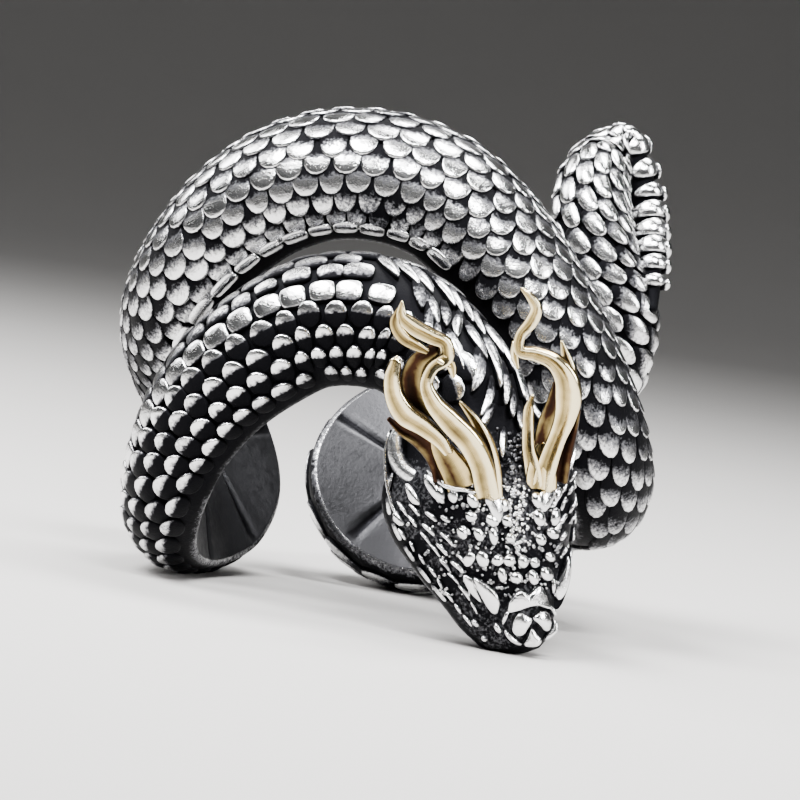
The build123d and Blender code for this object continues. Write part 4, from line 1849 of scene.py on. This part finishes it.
# Ribbons with a low polish, the second number after the points, are painted shade: shaded inner faces and
# dark undersides and sides.
LEFT_RIBBONS: tuple[Ribbon, ...] = (
    Ribbon(ribbon_line((0.15, -0.55, -0.1, 1.15), (0, 0.3, 0.1, 1.15), (-0.19, 1.21, 0.3, 1.14),
        (-0.76, 2.47, 0.5, 1.2), (-1.71, 3.58, 0.6, 1.12), (-2.52, 4.59, 0.6, 0.85),
        (-2.82, 5.39, 0.5, 0.62), (-2.52, 6.15, 0.35, 0.6), (-1.86, 6.65, 0.25, 0.68),
        (-1.9, 7.25, 0.15, 0.66), (-2.65, 7.71, 0.2, 0.78), (-3.51, 8.27, 0.3, 0.78),
        (-3.98, 8.77, 0.35, 0.56), (-3.98, 9.4, 0.35, 0.16)), 0.95),
    Ribbon(ribbon_line((0.35, -0.55, -0.15, 1), (0.25, 0.96, -0.05, 0.95), (0.02, 2.22, 0.05, 0.8),
        (-0.5, 3.38, 0.1, 0.55), (-1.2, 4.29, 0.1, 0.18)), 0.75),
    Ribbon(ribbon_line((-1.75, 1.75, 0.15, 0.45), (-2.18, 2.47, 0.2, 0.75), (-2.95, 3.2, 0.3, 0.95),
        (-3.84, 3.88, 0.4, 1.12), (-4.36, 4.89, 0.35, 0.9), (-4.42, 5.75, 0.25, 0.74),
        (-4.26, 6.4, 0.15, 0.55)), 0.9),
    Ribbon(ribbon_line((-1.08, -0.02, 0.08, 1.5), (-1.32, 0.6, -0.12, 1.52), (-1.75, 1.3, -0.22, 1.3),
        (-2.15, 2, -0.2, 0.95), (-2.4, 2.55, -0.2, 0.5)), 0.40, 0.62),
    Ribbon(ribbon_line((-4.62, 3.45, 0, 0.22), (-4, 2.85, -0.05, 0.48), (-3.25, 2.38, -0.15, 0.78),
        (-2.68, 1.75, -0.25, 0.82), (-2.36, 0.9, -0.35, 0.62), (-2.25, 0.2, -0.4, 0.5)), 0.5, 0.26),
    Ribbon(ribbon_line((-2.2, 6.6, 0.25, 0.5), (-1.72, 6.3, 0.35, 0.48), (-1.55, 5.65, 0.3, 0.2)), 0.55),
    Ribbon(ribbon_line((-2.75, 6.85, 0.1, 0.3), (-3.3, 7.2, 0.12, 0.55), (-3.95, 7.7, 0.18, 0.66),
        (-4.28, 8.4, 0.25, 0.55), (-4.08, 9.15, 0.3, 0.16)), 0.7, 0.8),
    Ribbon(ribbon_line((-2.9, 3.5, -0.15, 1.1), (-3.35, 4.5, -0.15, 1.25), (-3.45, 5.4, -0.15, 1.2),
        (-3.15, 6.3, -0.1, 1), (-2.4, 6.9, -0.1, 0.7)), 0.45, 0.42),
)
RIGHT_RIBBONS: tuple[Ribbon, ...] = (
    Ribbon(ribbon_line((0.05, -0.55, -0.1, 1.05), (0.14, 0.1, 0, 1.04), (0.43, 1.26, 0.15, 0.95),
        (0.76, 2.27, 0.3, 0.88), (1.09, 3.28, 0.45, 1.05), (1.23, 4.29, 0.5, 1.28),
        (1.09, 5.29, 0.45, 1.14), (0.52, 6.05, 0.35, 0.85), (-0.33, 6.4, 0.25, 0.74),
        (-1.1, 6.55, 0.2, 0.6), (-1.08, 7.25, 0.15, 0.5), (-0.57, 7.97, 0.2, 0.62),
        (-0.33, 8.67, 0.25, 0.56), (-0.66, 9.28, 0.25, 0.38), (-1.04, 9.63, 0.2, 0.14)), 0.95),
    Ribbon(ribbon_line((-0.25, -0.55, -0.15, 0.95), (-0.4, 0.5, -0.05, 0.85), (-0.62, 1.51, 0.05, 0.66),
        (-0.66, 2.77, 0.1, 0.57), (-0.62, 3.63, 0.1, 0.46), (-0.47, 4.18, 0.05, 0.18)), 0.7),
    Ribbon(ribbon_line((1.45, 4.5, 0.3, 0.7), (1.32, 5.45, 0.3, 0.66), (1.08, 6.3, 0.25, 0.47),
        (0.9, 6.95, 0.2, 0.14)), 0.7),
    Ribbon(ribbon_line((-0.05, 1.2, -0.25, 0.9), (0.2, 2.5, -0.2, 0.9), (0.6, 3.8, -0.1, 0.8),
        (0.75, 4.8, -0.05, 0.5)), 0.45, 0.40),
    Ribbon(ribbon_line((0.92, -0.35, -0.4, 0.75), (1.05, 0.94, -0.35, 0.85), (1.34, 2.24, -0.25, 0.75),
        (1.7, 3.45, -0.1, 0.32)), 0.6, 0.26),
    Ribbon(ribbon_line((0, -0.55, 0.04, 1.5), (0, 0.25, 0.06, 1.46), (0, 0.8, 0, 1.2),
        (0, 1.3, -0.12, 0.85), (0.02, 1.7, -0.3, 0.35)), 0.52, 0.95, 0.0),
    Ribbon(ribbon_line((-1.3, 6.95, 0.15, 0.36), (-1.36, 6.3, 0.2, 0.38), (-1.2, 5.62, 0.2, 0.16)), 0.5),
)


# Section of a ribbon: shares of half its width and of half its thickness, and its polish, which paints the
# crest bright, the hollow beside it in shade and the edges dark as shade lines.
RIBBON_SECTION: tuple[tuple[float, float, float], ...] = (
    (-1.0, 0.0, 0.0), (-1.0, 0.30, 0.1), (-0.92, 0.48, 1.0), (-0.72, 0.42, 0.84), (-0.35, 0.32, 0.46),
    (-0.15, 0.50, 0.66), (0.40, 0.94, 1.05), (0.66, 1.0, 1.1), (0.88, 0.78, 0.95), (1.0, 0.34, 0.1),
    (1.0, 0.0, 0.0), (0.85, -0.45, 0.55), (0.0, -0.85, 0.75), (-0.85, -0.45, 0.55))
# The point of that section that a ribbon's skew moves.
CREASE = 5


@dataclass
class FlameHorn:
    """A flame of pale gold: ribbons swept from a foot on the head."""

    path: SnakePath
    name: str
    node: str
    ribbons: tuple[Ribbon, ...]
    foot_distance: float
    foot_angle: float
    foot_lift: float = 0.3
    rise: float = 52.0
    steps: int = 80
    tangent_reach: float = 0.06
    thick_limit: float = 1.1
    root_reach: float = 0.05
    root_shade: float = 0.3

    def axes(self) -> tuple[np.ndarray, np.ndarray, np.ndarray]:
        """Right, upward and outward directions of the flame's plane.

        Returns:
            Three unit vectors.
        """
        rise = math.radians(self.rise)
        right = np.array([1.0, 0.0, 0.0])
        up = np.array([0.0, math.cos(rise), math.sin(rise)])
        return right, up, np.cross(right, up)

    def sweep(self, builder: MeshBuilder, ribbon: Ribbon, foot: np.ndarray) -> None:
        """Sweeps one ribbon with a crest along its middle.

        Args:
            builder: the piece that gets it.
            ribbon: the ribbon.
            foot: the horn's foot on the head.
        """
        right, up, out = self.axes()
        rows = np.array([
            [*(foot + right * p.right + up * p.up + out * p.out), p.width] for p in ribbon.points])
        curve = Curve(rows)
        distance = np.linspace(0, curve.length, self.steps)
        row = curve.at(distance)
        near = np.clip(distance + self.tangent_reach, 2 * self.tangent_reach, curve.length)
        ahead = unit(curve.at(near)[:, :3] - curve.at(near - 2 * self.tangent_reach)[:, :3])
        side = unit(np.cross(ahead, out))
        back = unit(np.cross(side, ahead))
        profile = np.array(RIBBON_SECTION)
        profile[CREASE, 0] += ribbon.skew
        half = row[:, 3] / 2
        thick = np.minimum(ribbon.thick / 2, half * self.thick_limit)
        points = (
            row[:, None, :3] + side[:, None] * (half[:, None] * profile[:, 0])[..., None]
            + back[:, None] * (thick[:, None] * profile[:, 1])[..., None])
        count = len(profile)
        polish_and_shade = np.tile(profile[:, 2] * ribbon.polish_and_shade, (self.steps, 1))
        tip = row[-1, :3] + ahead[-1] * half[-1]
        root = row[0, :3] - ahead[0] * self.root_reach
        hubs = self.steps * count
        faces = np.concatenate([
            halves(tube_faces(self.steps, count)), ring_fan(0, count, hubs)[:, [0, 2, 1]],
            ring_fan(hubs - count, count, hubs + 1)])
        # The root point is painted dark as shade where the ribbon meets the head.
        builder.add(np.concatenate([points.reshape(-1, 3), [root, tip]]), faces,
                    np.concatenate([polish_and_shade.ravel(), [self.root_shade, ribbon.polish_and_shade]]))

    def build(self, gold: bpy.types.Material) -> bpy.types.Object:
        """Makes the horn, which stands for its CAD node.

        Args:
            gold: material of the pale gold.

        Returns:
            The new object.
        """
        foot = self.path.surface(
            np.array([self.foot_distance]), np.radians([self.foot_angle]), np.array([self.foot_lift]))[0]
        builder = MeshBuilder()
        for ribbon in self.ribbons:
            self.sweep(builder, ribbon, foot)
        return builder.build(self.name, (gold,), GOLD_SLOT, (self.node,))


class SoftBox(NamedTuple):
    """A soft light that looks at the ring: its name, place and size in metres, and power in watts."""

    name: str
    place: tuple[float, float, float]
    size: tuple[float, float]
    power: float


SOFT_BOXES: tuple[SoftBox, ...] = (
    SoftBox("key_box", (-0.16, -0.10, 0.30), (0.22, 0.15), 0.96),
    SoftBox("top_box", (0.06, 0.10, 0.34), (0.22, 0.10), 0.50),
    SoftBox("right_strip", (0.30, -0.10, 0.16), (0.05, 0.20), 0.30),
    SoftBox("front_strip", (0.05, -0.28, 0.34), (0.14, 0.05), 0.56),
    SoftBox("left_box", (-0.30, 0.16, 0.22), (0.20, 0.20), 0.28),
)


@dataclass
class Studio:
    """Floor, lights and camera."""

    camera_distance: float = 0.26
    lens: float = 229.3
    sensor: float = 36.0
    aim_right: float = 0.765
    aim_up: float = 0.255
    floor_half: float = 0.9
    sweep_start: float = 0.35
    sweep_radius: float = 0.25
    sweep_steps: int = 12
    beam: float = 75.0
    light_aim: tuple[float, float, float] = (0.0, 0.0, 0.012)
    air_colour: tuple[float, float, float] = (0.75, 0.77, 0.8)
    air_strength: float = 0.05

    def floor(self, paint: FloorPaint) -> None:
        """Pale floor that sweeps up behind the ring.

        Args:
            paint: the floor's finish.
        """
        profile = [(-self.floor_half, 0.0), (self.sweep_start, 0.0)]
        for index in range(1, self.sweep_steps + 1):
            angle = index / self.sweep_steps * math.pi / 2
            profile.append((self.sweep_start + self.sweep_radius * math.sin(angle),
                            self.sweep_radius * (1 - math.cos(angle))))
        profile.append((self.sweep_start + self.sweep_radius, self.floor_half))
        points = [(x, y, z) for y, z in profile for x in (-self.floor_half, self.floor_half)]
        mesh = bpy.data.meshes.new("studio_floor")
        faces = [(2 * i, 2 * i + 1, 2 * i + 3, 2 * i + 2) for i in range(len(profile) - 1)]
        mesh.from_pydata(points, [], faces)
        mesh.polygons.foreach_set("use_smooth", [True] * len(mesh.polygons))
        mesh.materials.append(paint.build())
        floor = bpy.data.objects.new("studio_floor", mesh)
        bpy.context.scene.collection.objects.link(floor)

    def light(self, box: SoftBox) -> None:
        """Hangs one soft light.

        Args:
            box: the light's name, place, size and power.
        """
        data = bpy.data.lights.new(box.name, "AREA")
        data.shape = "RECTANGLE"
        data.size, data.size_y = box.size
        data.energy = box.power
        data.spread = math.radians(self.beam)
        lamp = bpy.data.objects.new(box.name, data)
        bpy.context.scene.collection.objects.link(lamp)
        lamp.location = box.place
        lamp.rotation_mode = "QUATERNION"
        lamp.rotation_quaternion = (Vector(self.light_aim) - Vector(box.place)).to_track_quat("-Z", "Y")

    def camera(self) -> None:
        """Camera at the photograph's angle and distance."""
        right, up, back = facing_axes()
        aim = REST.place((right * self.aim_right + up * self.aim_up)[None])[0]
        data = bpy.data.cameras.new("camera")
        data.lens = self.lens
        data.sensor_width = self.sensor
        data.clip_start, data.clip_end = 0.01, 10.0
        camera = bpy.data.objects.new("camera", data)
        bpy.context.scene.collection.objects.link(camera)
        axes = Matrix((REST.direction(right), REST.direction(up), REST.direction(back))).transposed()
        camera.matrix_world = Matrix.Translation(
            Vector(aim) + REST.direction(back) * self.camera_distance) @ axes.to_4x4()
        bpy.context.scene.camera = camera

    def build(self) -> None:
        """Sets up the studio."""
        self.floor(FloorPaint())
        self.camera()
        for box in SOFT_BOXES:
            self.light(box)
        world = bpy.data.worlds.new("studio_air")
        world.use_nodes = True
        background = world.node_tree.nodes["Background"]
        background.inputs["Color"].default_value = (*self.air_colour, 1.0)
        background.inputs["Strength"].default_value = self.air_strength
        bpy.context.scene.world = world


def main() -> None:
    """Builds the ring's pieces in order."""
    logging.basicConfig(level=logging.INFO, format="%(name)s: %(message)s")
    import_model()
    Studio().build()
    path = SnakePath()
    LOG.info("body length %.2f mm", path.curve.length)
    silver, satin, gold = OxidisedSilver().build(), BellySilver().build(), PaleGold().build()
    maker = ScaleMaker(path)
    skin = SnakeSkin(path)
    skin.build(silver, satin)
    coat = ScaleCoat(maker)
    coat.build("neck_scales", NECK_COATS, silver)
    coat.build("main_arc_scales", MAIN_COATS, silver)
    coat.build("tail_scales", TAIL_COATS, silver)
    CurlRibs(maker).build(silver)
    face = HeadFace(path, skin.rings()[0][:round(HEAD_END / skin.step)])
    HeadCarving(maker, face).build(silver)
    FlameHorn(path, "left_flame", "left_flame_horn", LEFT_RIBBONS, 7.6, -27.0).build(gold)
    FlameHorn(path, "right_flame", "right_flame_horn", RIGHT_RIBBONS, 7.6, 9.0).build(gold)


if __name__ == "__main__":
    main()
